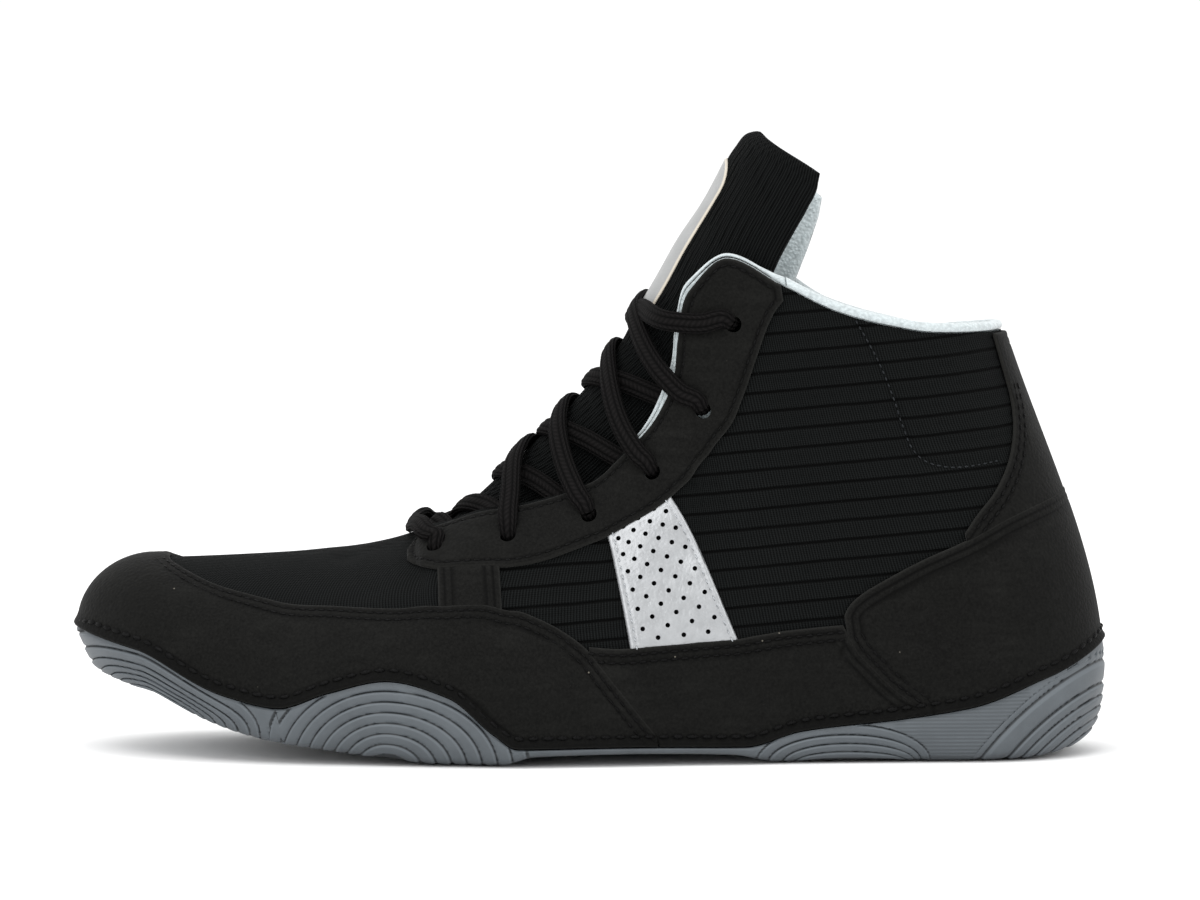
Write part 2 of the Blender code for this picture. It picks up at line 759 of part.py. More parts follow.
def make_throat_trim(side, name):
    angles = stations(0.575, 0.7605)
    low = (share_at(angles) > 0.68) & (share_at(angles) < 0.745)
    form = Form()
    roll(form, side, angles, UPPER_WALL, np.where(low, TAB_TRIM_HEIGHT, TRIM_HEIGHT), (True, True))
    return form.solid(name, (0.6, 0.66, 0.7), 0.95)


def make_tongue():
    along = np.array(TONGUE_ROWS)
    across = np.linspace(-1, 1, 11)[:, None]
    form = Form()
    form.plate(tongue_skin(along[None], across, 0.0), tongue_skin(along[None], across, -TONGUE_WALL))
    return form.solid("tongue", (0.03, 0.03, 0.033), 0.9)


def make_tongue_label():
    low = lace_seat(LATERAL, EYELETS[-1][2])[0] + 0.8 * LACE_WIDTH / TONGUE_HEIGHT
    along = low + (LABEL_TOP - low) * np.array(LABEL_ROWS)
    across = np.array([-0.3, -0.2, 0.0, 0.2, 0.3])[:, None]
    form = Form()
    form.plate(tongue_skin(along[None], across, GAP + LABEL_WALL), tongue_skin(along[None], across, GAP))
    return form.solid("tongue_label", (0.7, 0.7, 0.68), 0.5)


def tongue_spot(point):
    """The place on the tongue's front surface nearest to a point, as along and across."""
    along, across = np.meshgrid(np.linspace(0, 1, 201), np.linspace(-1, 1, 161), indexing="ij")
    away = np.linalg.norm(tongue_point(along, across) - point, axis=-1)
    i, j = np.unravel_index(away.argmin(), away.shape)
    return float(along[i, j]), float(across[i, j])


def through(points, count, guide=None):
    """A smooth path through the points, as count places evenly along it, or along the guide points."""
    points = np.array(points)
    steps = np.linalg.norm(np.diff(points if guide is None else guide, axis=0), axis=1)
    at = np.concatenate([[0.0], np.cumsum(steps)])
    slopes = np.gradient(points, at, axis=0)
    place = np.linspace(0, at[-1], count)
    i = np.clip(np.searchsorted(at, place, side="right") - 1, 0, len(at) - 2)
    h = (at[i + 1] - at[i])[:, None]
    s = ((place - at[i])[:, None]) / h
    return (
        points[i] * (1 + 2 * s) * (1 - s) ** 2
        + slopes[i] * h * s * (1 - s) ** 2
        + points[i + 1] * s**2 * (3 - 2 * s)
        + slopes[i + 1] * h * s**2 * (s - 1)
    )


def tape(form, path, normals):
    """A flat oval cord along the path, its broad faces square to the normals."""
    tangent = np.gradient(path, axis=0)
    across = np.cross(tangent, normals)
    across /= np.linalg.norm(across, axis=1, keepdims=True)
    up = np.cross(across, tangent)
    up /= np.linalg.norm(up, axis=1, keepdims=True)
    section = []
    for wide, high in ((0.5, 0), (0.3, 0.5), (-0.3, 0.5), (-0.5, 0), (-0.3, -0.5), (0.3, -0.5)):
        section.append(path + across * wide * LACE_WIDTH + up * high * LACE_THICKNESS)
    grid = form.add(np.stack(section + section[:1]))
    form.cover(grid)
    form.faces.append(tuple(int(n) for n in grid[:-1, 0]))
    form.faces.append(tuple(int(n) for n in grid[:-1, -1]))


def lace_seat(side, edge):
    """Where the tongue passes the throat edge at a share along the length, as along and across."""
    return tongue_spot(wall_point(side, float(angle_at(edge)), 1.0))


def lace_path(side, number, over_start, over_end):
    """A crossing from one eyelet to the next on the other side: path points and surface normals."""
    above = GAP + OVERLAY_WALL + LACE_OVER_WALL + LACE_THICKNESS / 2
    here, there = EYELETS[number], EYELETS[number + 1]
    end_edge = there[2] if over_end else 0.4 * here[2] + 0.6 * there[2]
    first, last = lace_seat(side, here[2]), lace_seat(-side, end_edge)
    points, normals = [], []

    def on_wall(where, eyelet, share):
        at = float(angle_at(eyelet[0] + (eyelet[2] - eyelet[0]) * share))
        rise = eyelet[1] + (0.995 - eyelet[1]) * share
        points.append(skin(where, at, rise, above))
        normals.append(wall_normal(where, at, rise))

    def on_tongue(share):
        along = first[0] + (last[0] - first[0]) * share
        across = first[1] + (last[1] - first[1]) * share
        offset = GAP + LACE_OVER_TONGUE + LACE_THICKNESS / 2
        points.append(tongue_skin(along, across, offset))
        normals.append(tongue_skin(along, across, 1.0) - tongue_skin(along, across, 0.0))

    if over_start:
        for share in (0.0, 0.5, 1.0):
            on_wall(side, here, share)
    for share in (0.24, 0.37, 0.5, 0.63, 0.76) if over_end else (0.24, 0.37, 0.5, 0.63, 0.74):
        on_tongue(share)
    if over_end:
        for share in (1.0, 0.5, 0.0):
            on_wall(-side, there, share)
    return np.array(points), np.array(normals)


def make_lace_crossing(number, over_start, over_end):
    name = "lace_crossing_%d" % (number + 1)
    strands = []
    for side in BOTH:
        points, normals = lace_path(side, number, over_start, over_end)
        count = 12 if over_end else 9 if over_start else 6
        form = Form()
        tape(form, through(points, count), through(normals, count, points))
        strands.append(form.solid(name if side == LATERAL else name + "_cutter", (0.015, 0.015, 0.016)))
    join(strands[0], strands[1])


def join(item, other):
    """Join other into item and remove it."""
    union = item.modifiers.new("join", "BOOLEAN")
    union.operation = "UNION"
    union.solver = "EXACT"
    union.object = other
    bpy.context.view_layer.update()
    graph = bpy.context.evaluated_depsgraph_get()
    mesh = bpy.data.meshes.new_from_object(item.evaluated_get(graph))
    item.modifiers.remove(union)
    item.data = mesh
    bpy.data.objects.remove(other, do_unlink=True)


def make_lace_bar():
    above = GAP + OVERLAY_WALL + LACE_OVER_TONGUE + LACE_THICKNESS / 2
    points, normals = [], []
    eyelet = EYELETS[0]
    for side, order in ((LATERAL, 1), (MEDIAL, -1)):
        spots = [(eyelet[0], eyelet[1]), (0.347, 0.87), (0.337, 0.97)][::order]
        for share, rise in spots:
            points.append(skin(side, float(angle_at(share)), rise, above))
            normals.append(wall_normal(side, float(angle_at(share)), rise))
    form = Form()
    tape(form, through(points, 10), through(normals, 10, points))
    return form.solid("lace_bar", (0.015, 0.015, 0.016))


def main():
    for item in list(bpy.data.objects):
        bpy.data.objects.remove(item, do_unlink=True)
    make_outsole()
    make_insole()
    make_upper()
    make_toe_rand()
    make_heel_counter()
    make_heel_strip()
    make_collar_binding()
    for side, word in ((LATERAL, "lateral"), (MEDIAL, "medial")):
        make_side_panel(side, "side_panel_" + word)
        make_eyestay(side, "eyestay_" + word)
        make_gusset(side, "gusset_" + word)
        make_saddle(side, "saddle_" + word)
        make_throat_trim(side, "throat_trim_" + word)
    make_tongue()
    make_tongue_label()
    make_lace_bar()
    make_lace_crossing(0, False, False)
    for number in (1, 2, 3):
        make_lace_crossing(number, True, False)
    make_lace_crossing(4, True, True)


main()
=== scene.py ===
"""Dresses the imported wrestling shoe: knit, nubuck, rubber, laces, stitches and the photo studio.

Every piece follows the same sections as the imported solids, in metres: +Z up, the toe towards -X, the
outer (lateral) side towards -Y.
"""

import math

import bmesh
import bpy
import numpy as np
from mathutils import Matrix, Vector


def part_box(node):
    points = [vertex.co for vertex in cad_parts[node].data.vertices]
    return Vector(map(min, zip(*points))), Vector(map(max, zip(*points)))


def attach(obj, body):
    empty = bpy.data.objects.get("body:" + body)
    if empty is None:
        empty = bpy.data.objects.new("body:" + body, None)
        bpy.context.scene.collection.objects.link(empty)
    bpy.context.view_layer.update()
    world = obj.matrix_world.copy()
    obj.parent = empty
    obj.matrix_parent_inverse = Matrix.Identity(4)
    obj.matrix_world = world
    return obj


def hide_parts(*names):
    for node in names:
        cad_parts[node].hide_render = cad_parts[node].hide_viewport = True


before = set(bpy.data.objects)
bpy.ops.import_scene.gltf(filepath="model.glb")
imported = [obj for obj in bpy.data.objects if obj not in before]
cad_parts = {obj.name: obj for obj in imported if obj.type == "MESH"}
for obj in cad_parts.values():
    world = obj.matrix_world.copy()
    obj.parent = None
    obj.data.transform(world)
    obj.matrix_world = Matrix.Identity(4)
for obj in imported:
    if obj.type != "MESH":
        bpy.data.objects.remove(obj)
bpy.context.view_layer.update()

bl_info = {
    "name": "Wrestling Shoe",
    "version": (1, 0, 0),
    "blender": (4, 5, 0),
    "location": "View3D > Sidebar > Shoe",
    "description": "Builds the visible pieces of a knitted wrestling shoe over its packed solids",
    "category": "Object",
}

# Overall sizes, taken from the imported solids
LENGTH = 0.285
BALL_WIDTH = 0.098
COLLAR_HEIGHT = 0.139
CUP_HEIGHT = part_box("outsole")[1][2]
TONGUE_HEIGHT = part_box("tongue")[1][2]

# Walls and thicknesses
UPPER_WALL = 0.0024
OVERLAY_WALL = 0.0012
RIM_WIDTH = 0.0052
INSOLE_WALL = 0.003
TONGUE_WALL = 0.0036
GAP = 0.0004
UPPER_SET_IN = 0.0017

LATERAL = -1
MEDIAL = 1
BOTH = (LATERAL, MEDIAL)

UV_NAME = "millimetres"
ALL_EDGES = ("low", "high", "start", "end")

# Cloth patterns, in the millimetres of the UV map
RIB_PITCH_MM = 0.85
LOOP_PITCH_MM = 0.55
GROOVE_PITCH_MM = 5.3
GROOVE_SLOPE = math.tan(math.radians(5))
BRAID_COLUMNS = 10
BRAID_WIDTH_MM = 1.25
BRAID_PITCH_MM = 1.5
BRAID_SLANT = 1.1
RUBBER_RIB_PITCH = 0.00104

# Mesh spacing and the shape of cut and stitched edges
WELD = 4e-6
NEAR_EDGE = (0.0, 0.00015, 0.0004, 0.0008, 0.0012, 0.0016, 0.0019, 0.0022, 0.0027, 0.0036, 0.0040, 0.0044)
EDGE_ROUND = 0.0009
STITCH_INSETS = (0.0019, 0.0040)
CHANNEL_DEPTH = 0.00014
CHANNEL_WIDTH = 0.00038
LIP_REACH = 0.0011
LIP_HEIGHT = 0.0017
LIP_STITCH_INSET = 0.0029
RIM_SLOPE = 0.0006
PANEL_TUCK = 0.012
UNDERLAP = 0.00025
SADDLE_WALL = 0.0008
SADDLE_TUCK = 0.06
SADDLE_STITCH_INSET = 0.0017
QUILT_STITCH_LIFT = 0.0003
EYELET_DEPTH = 0.012
PERFORATION_DEPTH = 0.006
# How far from a cut edge its attribute still counts
EDGE_REACH = 0.009
# The least height of a panel, as a share of the wall
LEAST_RISE = 0.004
BINDING_WIDTH = 0.0040
BINDING_HEIGHT = 0.0026
TONGUE_RIB_PITCH = 0.0024
TONGUE_RIB_DEPTH = 0.00035
LACE_THICKNESS = 0.0022
LACE_STEP = 0.00045
# How much narrower and thicker the lace is where an eyelet squeezes it
LACE_PINCH = 0.30
LACE_SWELL = 0.10
# The lace's clearance over the eyestay and under the upper
LACE_CLEAR_OVER = 0.0002
LACE_CLEAR_UNDER = 0.0003
# How far up the wall the lace passes the throat's edge
THROAT_RISE = 0.998
# The lace's bar below the first eyelets, from its middle: share along the length and how far up the wall
LACE_BAR = ((0.337, 0.970), (0.345, 0.885), (0.351, 0.800))
# The lace through an eyelet: how far towards the throat, how far out from the wall and how tight, from
# the outside to the inside, in metres
EYELET_RUN = ((0.0030, 0.0026, 0.3), (0.0010, 0.0012, 0.8), (0.0002, -0.0014, 1.0), (0.0010, -0.0042, 0.8))
BRAID_RELIEF = 0.00016
TAPE_WALL = 0.0005
TAPE_SPAN = (0.66, 0.945)
TAPE_HALF = 0.28
TAPE_TAPER = 0.05
# The terry edge's height along the throat, in metres, by share along the length
TRIM_RISE = (
    (0.575, 0.0008), (0.600, 0.0020), (0.650, 0.0022), (0.672, 0.0012), (0.700, 0.0008), (0.738, 0.0010),
    (0.752, 0.0018), (0.7605, 0.0024),
)
# Where each crossing passes the tongue's ridge, as a share of its length: the strand that comes from the
# lateral side and the one from the medial side
LACE_RIDGE = ((0.185, 0.235), (0.370, 0.310), (0.458, 0.408), (0.578, 0.515), (0.655, 0.648))
# How high a lateral strand rides over the medial one at shares of its way across
LACE_CLIMB = ((0.20, 0.8), (0.33, 1.0), (0.50, 0.3), (0.65, 0.0), (0.80, 0.0))
# Soft folds of the tongue: place along and across it, reach along and across, and depth in metres
TONGUE_FOLDS = (
    (0.60, -0.55, 0.020, 0.50, -0.0010), (0.56, 0.45, 0.018, 0.45, -0.0008),
    (0.86, 0.20, 0.050, 0.35, -0.0007), (0.95, -0.25, 0.030, 0.30, 0.0006),
)

ROOM_STRENGTH = 1.12


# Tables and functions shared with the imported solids

# Share along the length, then the centre line, half width and instep ridge as shares of the ball width.
OUTLINE_COLUMNS = ("at", "centre", "half", "ridge")
OUTLINE = (
    (0.00, 0.080, 0.345, 0.080), (0.12, 0.070, 0.405, 0.075), (0.25, 0.030, 0.475, 0.055),
    (0.36, 0.000, 0.492, 0.030), (0.50, -0.018, 0.440, 0.020), (0.62, -0.020, 0.385, 0.010),
    (0.75, -0.008, 0.352, 0.000), (0.88, 0.000, 0.342, 0.000), (1.00, 0.000, 0.335, 0.000),
)
TOE_ROUND = 0.16
HEEL_ROUND = 0.125

# Share along the length, then heights as shares of the cup height.
RIM_COLUMNS = ("at", "rim")
RIM = (
    (0.000, 1.000), (0.060, 0.880), (0.150, 0.534), (0.200, 0.455), (0.250, 0.589), (0.306, 0.691),
    (0.365, 0.563), (0.409, 0.262), (0.432, 0.146), (0.530, 0.152), (0.650, 0.142), (0.705, 0.262),
    (0.800, 0.350), (0.870, 0.443), (0.940, 0.659), (1.000, 0.918),
)
BED_COLUMNS = ("at", "under", "floor")
BED = (
    (0.000, 0.610, 0.760), (0.060, 0.500, 0.650), (0.100, 0.370, 0.515), (0.150, 0.222, 0.362),
    (0.200, 0.137, 0.270), (0.250, 0.087, 0.222), (0.300, 0.034, 0.187), (0.335, 0.008, 0.162),
    (0.352, 0.000, 0.154), (0.418, 0.000, 0.123), (0.450, 0.070, 0.120), (0.540, 0.085, 0.124),
    (0.640, 0.068, 0.120), (0.685, 0.000, 0.150), (0.780, 0.000, 0.220), (0.930, 0.000, 0.245),
    (0.970, 0.030, 0.260), (1.000, 0.110, 0.275),
)
# The upper's wall, a row for each section: share along the length at the feather edge, then the top
# edge's shift along the length, half gap (of the ball width) and height (of the collar height), and the
# rise, flare, reach and drop of the two handles that bend the wall between them.
WALL_COLUMNS = ("at", "shift", "half_gap", "top", "rise", "flare", "reach", "drop")
WALL = (
    (0.000, 0.000, 0.000, 0.378, 0.50, 0.000, 0.52, 0.00),
    (0.088, 0.000, 0.000, 0.383, 0.50, 0.004, 0.54, 0.00),
    (0.200, 0.000, 0.000, 0.394, 0.48, 0.008, 0.52, 0.00),
    (0.277, 0.000, 0.000, 0.412, 0.46, 0.010, 0.50, 0.00),
    (0.331, 0.000, 0.000, 0.439, 0.44, 0.012, 0.48, 0.00),
    (0.345, -0.005, 0.082, 0.456, 0.43, 0.012, 0.47, 0.05),
    (0.365, -0.009, 0.125, 0.465, 0.42, 0.012, 0.45, 0.09),
    (0.410, -0.013, 0.185, 0.495, 0.40, 0.012, 0.42, 0.11),
    (0.460, -0.016, 0.230, 0.513, 0.38, 0.012, 0.40, 0.13),
    (0.520, -0.017, 0.262, 0.555, 0.36, 0.010, 0.40, 0.13),
    (0.560, -0.026, 0.272, 0.612, 0.35, 0.008, 0.40, 0.15),
    (0.590, -0.030, 0.278, 0.671, 0.34, 0.006, 0.40, 0.17),
    (0.620, -0.040, 0.282, 0.763, 0.33, 0.004, 0.36, 0.20),
    (0.650, -0.063, 0.284, 0.871, 0.32, 0.002, 0.33, 0.23),
    (0.675, -0.077, 0.288, 0.943, 0.32, 0.000, 0.30, 0.26),
    (0.710, -0.075, 0.296, 1.000, 0.32, -0.004, 0.26, 0.28),
    (0.760, -0.068, 0.308, 0.943, 0.32, -0.006, 0.24, 0.30),
    (0.800, -0.061, 0.312, 0.896, 0.32, -0.006, 0.24, 0.30),
    (0.850, -0.059, 0.304, 0.866, 0.32, -0.004, 0.26, 0.31),
    (0.900, -0.063, 0.268, 0.850, 0.32, 0.000, 0.28, 0.32),
    (0.945, -0.075, 0.205, 0.847, 0.33, 0.006, 0.31, 0.33),
    (0.980, -0.086, 0.124, 0.846, 0.33, 0.010, 0.33, 0.33),
    (1.000, -0.094, 0.000, 0.845, 0.33, 0.012, 0.33, 0.33),
)
TOE_DOME = 0.07
THROAT_START = 0.331
# How much lower the collar runs on the medial side, as a share of the collar height.
DROP_COLUMNS = ("at", "drop")
MEDIAL_DROP = (
    (0.000, 0.000), (0.730, 0.000), (0.800, 0.024), (0.900, 0.026), (0.950, 0.016), (1.000, 0.000),
)


def hermite(xs, ys, level_ends=False):
    """A smooth curve through the points that never overshoots them."""
    steps = np.diff(xs)
    slopes = np.diff(ys) / steps
    tangents = np.empty(len(xs))
    tangents[0] = 0.0 if level_ends else slopes[0]
    tangents[-1] = 0.0 if level_ends else slopes[-1]
    for i in range(1, len(xs) - 1):
        before, after = slopes[i - 1], slopes[i]
        if before * after <= 0:
            tangents[i] = 0.0
            continue
        w1 = 2 * steps[i] + steps[i - 1]
        w2 = steps[i] + 2 * steps[i - 1]
        tangents[i] = (w1 + w2) / (w1 / before + w2 / after)

    def value(x):
        x = np.clip(np.asarray(x, float), xs[0], xs[-1])
        i = np.clip(np.searchsorted(xs, x, side="right") - 1, 0, len(xs) - 2)
        h = steps[i]
        s = (x - xs[i]) / h
        return (
            ys[i] * (1 + 2 * s) * (1 - s) ** 2
            + tangents[i] * h * s * (1 - s) ** 2
            + ys[i + 1] * s**2 * (3 - 2 * s)
            + tangents[i + 1] * h * s**2 * (s - 1)
        )

    return value


def angle_at(share):
    """The angle round the outline, 0 at the toe and pi at the heel, of a share along the length."""
    return np.arccos(np.clip(1 - 2 * np.asarray(share, float), -1, 1))


def share_at(angle):
    return (1 - np.cos(angle)) / 2


def curves(names, table, level_ends=True, at=angle_at):
    """Each later column of a table, by name, as a smooth function of the first column."""
    first, *others = np.array(table, float).T
    return {name: hermite(at(first), column, level_ends) for name, column in zip(names[1:], others)}


outline_centre, outline_half, outline_ridge = curves(OUTLINE_COLUMNS, OUTLINE).values()
rim_share = curves(RIM_COLUMNS, RIM)["rim"]
under_share, floor_share = curves(BED_COLUMNS, BED).values()
wall_column = curves(WALL_COLUMNS, WALL)
medial_drop = curves(DROP_COLUMNS, MEDIAL_DROP)["drop"]


def rounded(distance, reach):
    """A quarter ellipse: 0 at distance 0, 1 from distance reach on."""
    inside = np.clip(distance / reach, 0, 1)
    return np.sqrt(np.clip(1 - (1 - inside) ** 2, 0, 1))


def rim_height(angle):
    return CUP_HEIGHT * rim_share(angle)


def outline(side, angle):
    """The rubber rim's outer edge in plan, as x and y."""
    share = share_at(angle)
    ends = rounded(share, TOE_ROUND) * rounded(1 - share, HEEL_ROUND)
    x = (share - 0.5) * LENGTH
    y = BALL_WIDTH * (outline_centre(angle) + side * outline_half(angle) * ends)
    return x, y


def outward(side, angle):
    """The outline's outward direction in plan."""
    step = 1e-4
    low = np.clip(angle - step, 0, math.pi)
    high = np.clip(angle + step, 0, math.pi)
    x0, y0 = outline(side, low)
    x1, y1 = outline(side, high)
    dx, dy = x1 - x0, y1 - y0
    size = np.hypot(dx, dy)
    return -side * dy / size, side * dx / size


def sole_point(side, angle, set_in, height):
    x, y = outline(side, angle)
    nx, ny = outward(side, angle)
    return np.stack([x - nx * set_in, y - ny * set_in, height + 0 * x], axis=-1)


def wall_point(side, angle, rise):
    """A point of the upper's outer surface: rise 0 at the feather edge, 1 at the ridge, throat or collar."""
    angle, rise = np.broadcast_arrays(np.asarray(angle, float), np.asarray(rise, float))
    share = share_at(angle)
    foot = sole_point(side, angle, UPPER_SET_IN, rim_height(angle) + GAP)
    get = {name: column(angle) for name, column in wall_column.items()}
    tip = rim_height(0.0) + GAP
    dome = rounded(share, TOE_DOME)
    top = np.empty_like(foot)
    gap_here = BALL_WIDTH * np.where(share > THROAT_START, get["half_gap"], 0.0)
    toe_pull = UPPER_SET_IN * (1 - share)
    heel_pull = UPPER_SET_IN * share
    top[..., 0] = (share - 0.5 + get["shift"]) * LENGTH + toe_pull - heel_pull
    top[..., 1] = BALL_WIDTH * outline_ridge(angle) + side * gap_here
    drop = medial_drop(angle) if side == MEDIAL else 0.0
    top[..., 2] = tip + (COLLAR_HEIGHT * (get["top"] - drop) - tip) * dome
    nx, ny = outward(side, angle)
    flare = BALL_WIDTH * get["flare"] * dome
    height = top[..., 2] - foot[..., 2]
    low = foot.copy()
    low[..., 0] += nx * flare + 0.15 * (top[..., 0] - foot[..., 0])
    low[..., 1] += ny * flare
    low[..., 2] += get["rise"] * height
    high = top.copy()
    high[..., 0] += get["reach"] * (foot[..., 0] - top[..., 0])
    high[..., 1] += get["reach"] * (foot[..., 1] - top[..., 1])
    high[..., 2] -= get["drop"] * height
    r = rise[..., None]
    return (foot * (1 - r) ** 3 + 3 * low * r * (1 - r) ** 2 + 3 * high * r**2 * (1 - r) + top * r**3)


def wall_normal(side, angle, rise):
    """The outward unit normal of the upper's outer surface."""
    angle, rise = np.broadcast_arrays(np.asarray(angle, float), np.asarray(rise, float))
    step = 2e-3
    a0, a1 = np.clip(angle, 0.02, math.pi) - step, np.clip(angle, 0.02, math.pi)
    r0, r1 = np.clip(rise - step, 0, 1), np.clip(rise + step, 0, 1)
    mid = np.clip(angle, 0.02, math.pi)
    along = wall_point(side, np.minimum(a1 + step, math.pi), rise) - wall_point(side, a0, rise)
    up = wall_point(side, mid, r1) - wall_point(side, mid, r0)
    normal = np.cross(along, up) * -side
    normal /= np.linalg.norm(normal, axis=-1, keepdims=True)
    tip = (angle < 1e-6)[..., None]
    normal = np.where(tip, np.array([-1.0, 0.0, 0.0]), normal)
    seam = (angle > math.pi - 1e-6) | ((rise > 1 - 1e-9) & (share_at(angle) < THROAT_START + 1e-9))
    normal[..., 1] = np.where(seam, 0.0, normal[..., 1])
    normal[..., 2] *= np.clip(rise / 0.09, 0, 1)
    return normal / np.linalg.norm(normal, axis=-1, keepdims=True)


# Tongue: share of its length, centre line as shares of the shoe's length and the tongue's height, the
# section's lean in degrees below level, its half width and depth as shares of the ball width, and how far
# round the section the lateral and the medial wing go, in degrees.
TONGUE_COLUMNS = ("at", "along", "height", "centre", "lean", "half", "depth", "lateral", "medial")
TONGUE = (
    (0.000, -0.2350, 0.294, 0.040, 66.0, 0.145, 0.105, 52.0, 52.0),
    (0.060, -0.2020, 0.310, 0.037, 66.0, 0.158, 0.115, 60.0, 60.0),
    (0.120, -0.1720, 0.327, 0.033, 62.0, 0.165, 0.140, 64.0, 64.0),
    (0.180, -0.1450, 0.355, 0.029, 57.0, 0.172, 0.180, 66.0, 66.0),
    (0.240, -0.1160, 0.399, 0.026, 52.0, 0.178, 0.250, 68.0, 68.0),
    (0.310, -0.0830, 0.450, 0.023, 48.0, 0.184, 0.315, 70.0, 70.0),
    (0.390, -0.0480, 0.505, 0.020, 45.0, 0.194, 0.355, 72.0, 72.0),
    (0.480, -0.0100, 0.572, 0.015, 42.0, 0.210, 0.350, 74.0, 76.0),
    (0.570, 0.0220, 0.638, 0.009, 37.0, 0.228, 0.325, 79.0, 86.0),
    (0.650, 0.0470, 0.706, 0.004, 34.0, 0.245, 0.300, 86.0, 100.0),
    (0.730, 0.0690, 0.768, 0.001, 33.0, 0.257, 0.280, 91.0, 111.0),
    (0.800, 0.0884, 0.826, 0.000, 33.0, 0.264, 0.268, 91.0, 111.0),
    (0.870, 0.1125, 0.890, 0.000, 33.0, 0.274, 0.270, 87.0, 106.0),
    (0.930, 0.1315, 0.942, 0.000, 33.0, 0.290, 0.270, 86.0, 101.0),
    (0.970, 0.1430, 0.973, 0.000, 33.0, 0.294, 0.262, 87.0, 98.0),
    (0.987, 0.1530, 0.993, 0.000, 33.0, 0.288, 0.236, 90.0, 96.0),
    (1.000, 0.1690, 1.000, 0.000, 33.0, 0.276, 0.190, 90.0, 92.0),
)
# How much lower the medial wing's corner is, as a share of the tongue's length
MEDIAL_FALL = 0.03
tongue_column = curves(TONGUE_COLUMNS, TONGUE, level_ends=False, at=np.array)


def tongue_point(along, across):
    """The tongue's front surface: along 0 to 1 from foot to top, across -1 to 1 from wing to wing."""
    along, across = np.broadcast_arrays(np.asarray(along, float), np.asarray(across, float))
    along = along * (1 - MEDIAL_FALL * np.clip(across, 0, 1) ** 2)
    get = {name: column(along) for name, column in tongue_column.items()}
    lean = np.radians(get["lean"])
    turn = np.radians(np.where(across < 0, get["lateral"], get["medial"])) * across
    back = BALL_WIDTH * get["depth"] * (1 - np.cos(turn))
    return np.stack(
        [
            LENGTH * get["along"] + back * np.cos(lean),
            BALL_WIDTH * (get["centre"] + get["half"] * np.sin(turn)),
            TONGUE_HEIGHT * get["height"] - back * np.sin(lean),
        ],
        axis=-1,
    )


def tongue_skin(along, across, offset):
    """The tongue's surface moved out by offset along its normal."""
    along, across = np.broadcast_arrays(np.asarray(along, float), np.asarray(across, float))
    step = 2e-3
    above, beneath = np.clip(along + step, 0, 1), np.clip(along - step, 0, 1)
    up = tongue_point(above, across) - tongue_point(beneath, across)
    over = tongue_point(along, across + step) - tongue_point(along, across - step)
    normal = np.cross(up, over)
    normal /= np.linalg.norm(normal, axis=-1, keepdims=True)
    return tongue_point(along, across) + normal * np.asarray(offset, float)[..., None]


# Overlay edges on the upper: share along the length at the feather edge, then how far up the wall from the
# feather edge (0) to the ridge, throat or collar edge (1).
EDGE_COLUMNS = ("at", "rise")
TOE_RAND_TOP = (
    (0.088, 0.860), (0.098, 0.760), (0.110, 0.693), (0.136, 0.608), (0.190, 0.528), (0.250, 0.450),
    (0.318, 0.382), (0.360, 0.412), (0.409, 0.470), (0.434, 0.473), (0.460, 0.438), (0.499, 0.335),
    (0.528, 0.203), (0.547, 0.118), (0.566, 0.036),
)
SIDE_PANEL_TOP = (
    (0.499, 0.335), (0.539, 0.307), (0.578, 0.292), (0.664, 0.235), (0.710, 0.211), (0.757, 0.226),
)
COUNTER_FRONT = (
    (0.757, 0.215), (0.764, 0.170), (0.779, 0.122), (0.796, 0.072), (0.818, 0.018), (0.824, 0.000),
)
COUNTER_TOP = (
    (0.757, 0.235), (0.763, 0.262), (0.779, 0.300), (0.812, 0.350), (0.851, 0.400), (0.892, 0.438),
    (0.930, 0.465), (0.965, 0.480), (1.000, 0.486),
)
STRIP_FRONT = (
    (0.888, 0.452), (0.905, 0.496), (0.929, 0.545), (0.948, 0.600), (0.965, 0.675), (0.974, 0.740),
    (0.980, 0.840), (0.981, 0.920), (0.980, 0.985),
)
EYESTAY_INNER = (
    (0.322, 0.745), (0.334, 0.820), (0.348, 0.875), (0.366, 0.918), (0.387, 0.935), (0.432, 0.950),
    (0.480, 0.966), (0.540, 0.974), (0.582, 0.978), (0.604, 0.966), (0.631, 0.948), (0.650, 0.964),
    (0.676, 0.988), (0.710, 0.999), (0.758, 0.999),
)
EYESTAY_OUTER = (
    (0.322, 0.688), (0.330, 0.642), (0.341, 0.614), (0.356, 0.606), (0.384, 0.618), (0.428, 0.640),
    (0.464, 0.655), (0.520, 0.682), (0.564, 0.680), (0.595, 0.674), (0.630, 0.650), (0.662, 0.632),
    (0.686, 0.647), (0.702, 0.688), (0.722, 0.776), (0.736, 0.855), (0.747, 0.916), (0.757, 0.962),
)
GUSSET_SPAN = (0.357, 0.421)
# Where the toe cap stops being closed over the top, and its edge just behind that
TOE_CAP_END = 0.0864
TOE_CAP_REAR = ((0.0866, 0.960), (0.0872, 0.910))
# Eyelets: share along the length, how far up the wall, and where along the throat edge their lace passes.
EYELETS = (
    (0.355, 0.735, 0.372), (0.433, 0.782, 0.441), (0.514, 0.800, 0.504), (0.585, 0.800, 0.571),
    (0.662, 0.722, 0.619), (0.706, 0.843, 0.651),
)
# Perforated silver saddle between the side panel and the eyestay: its front and back edges at foot and top.
SADDLE = ((0.0, 0.545, 0.655), (1.0, 0.530, 0.600))


def edge_line(table):
    """How far up the wall an edge runs, as a function of the angle round the outline."""
    return curves(EDGE_COLUMNS, table, level_ends=False)["rise"]


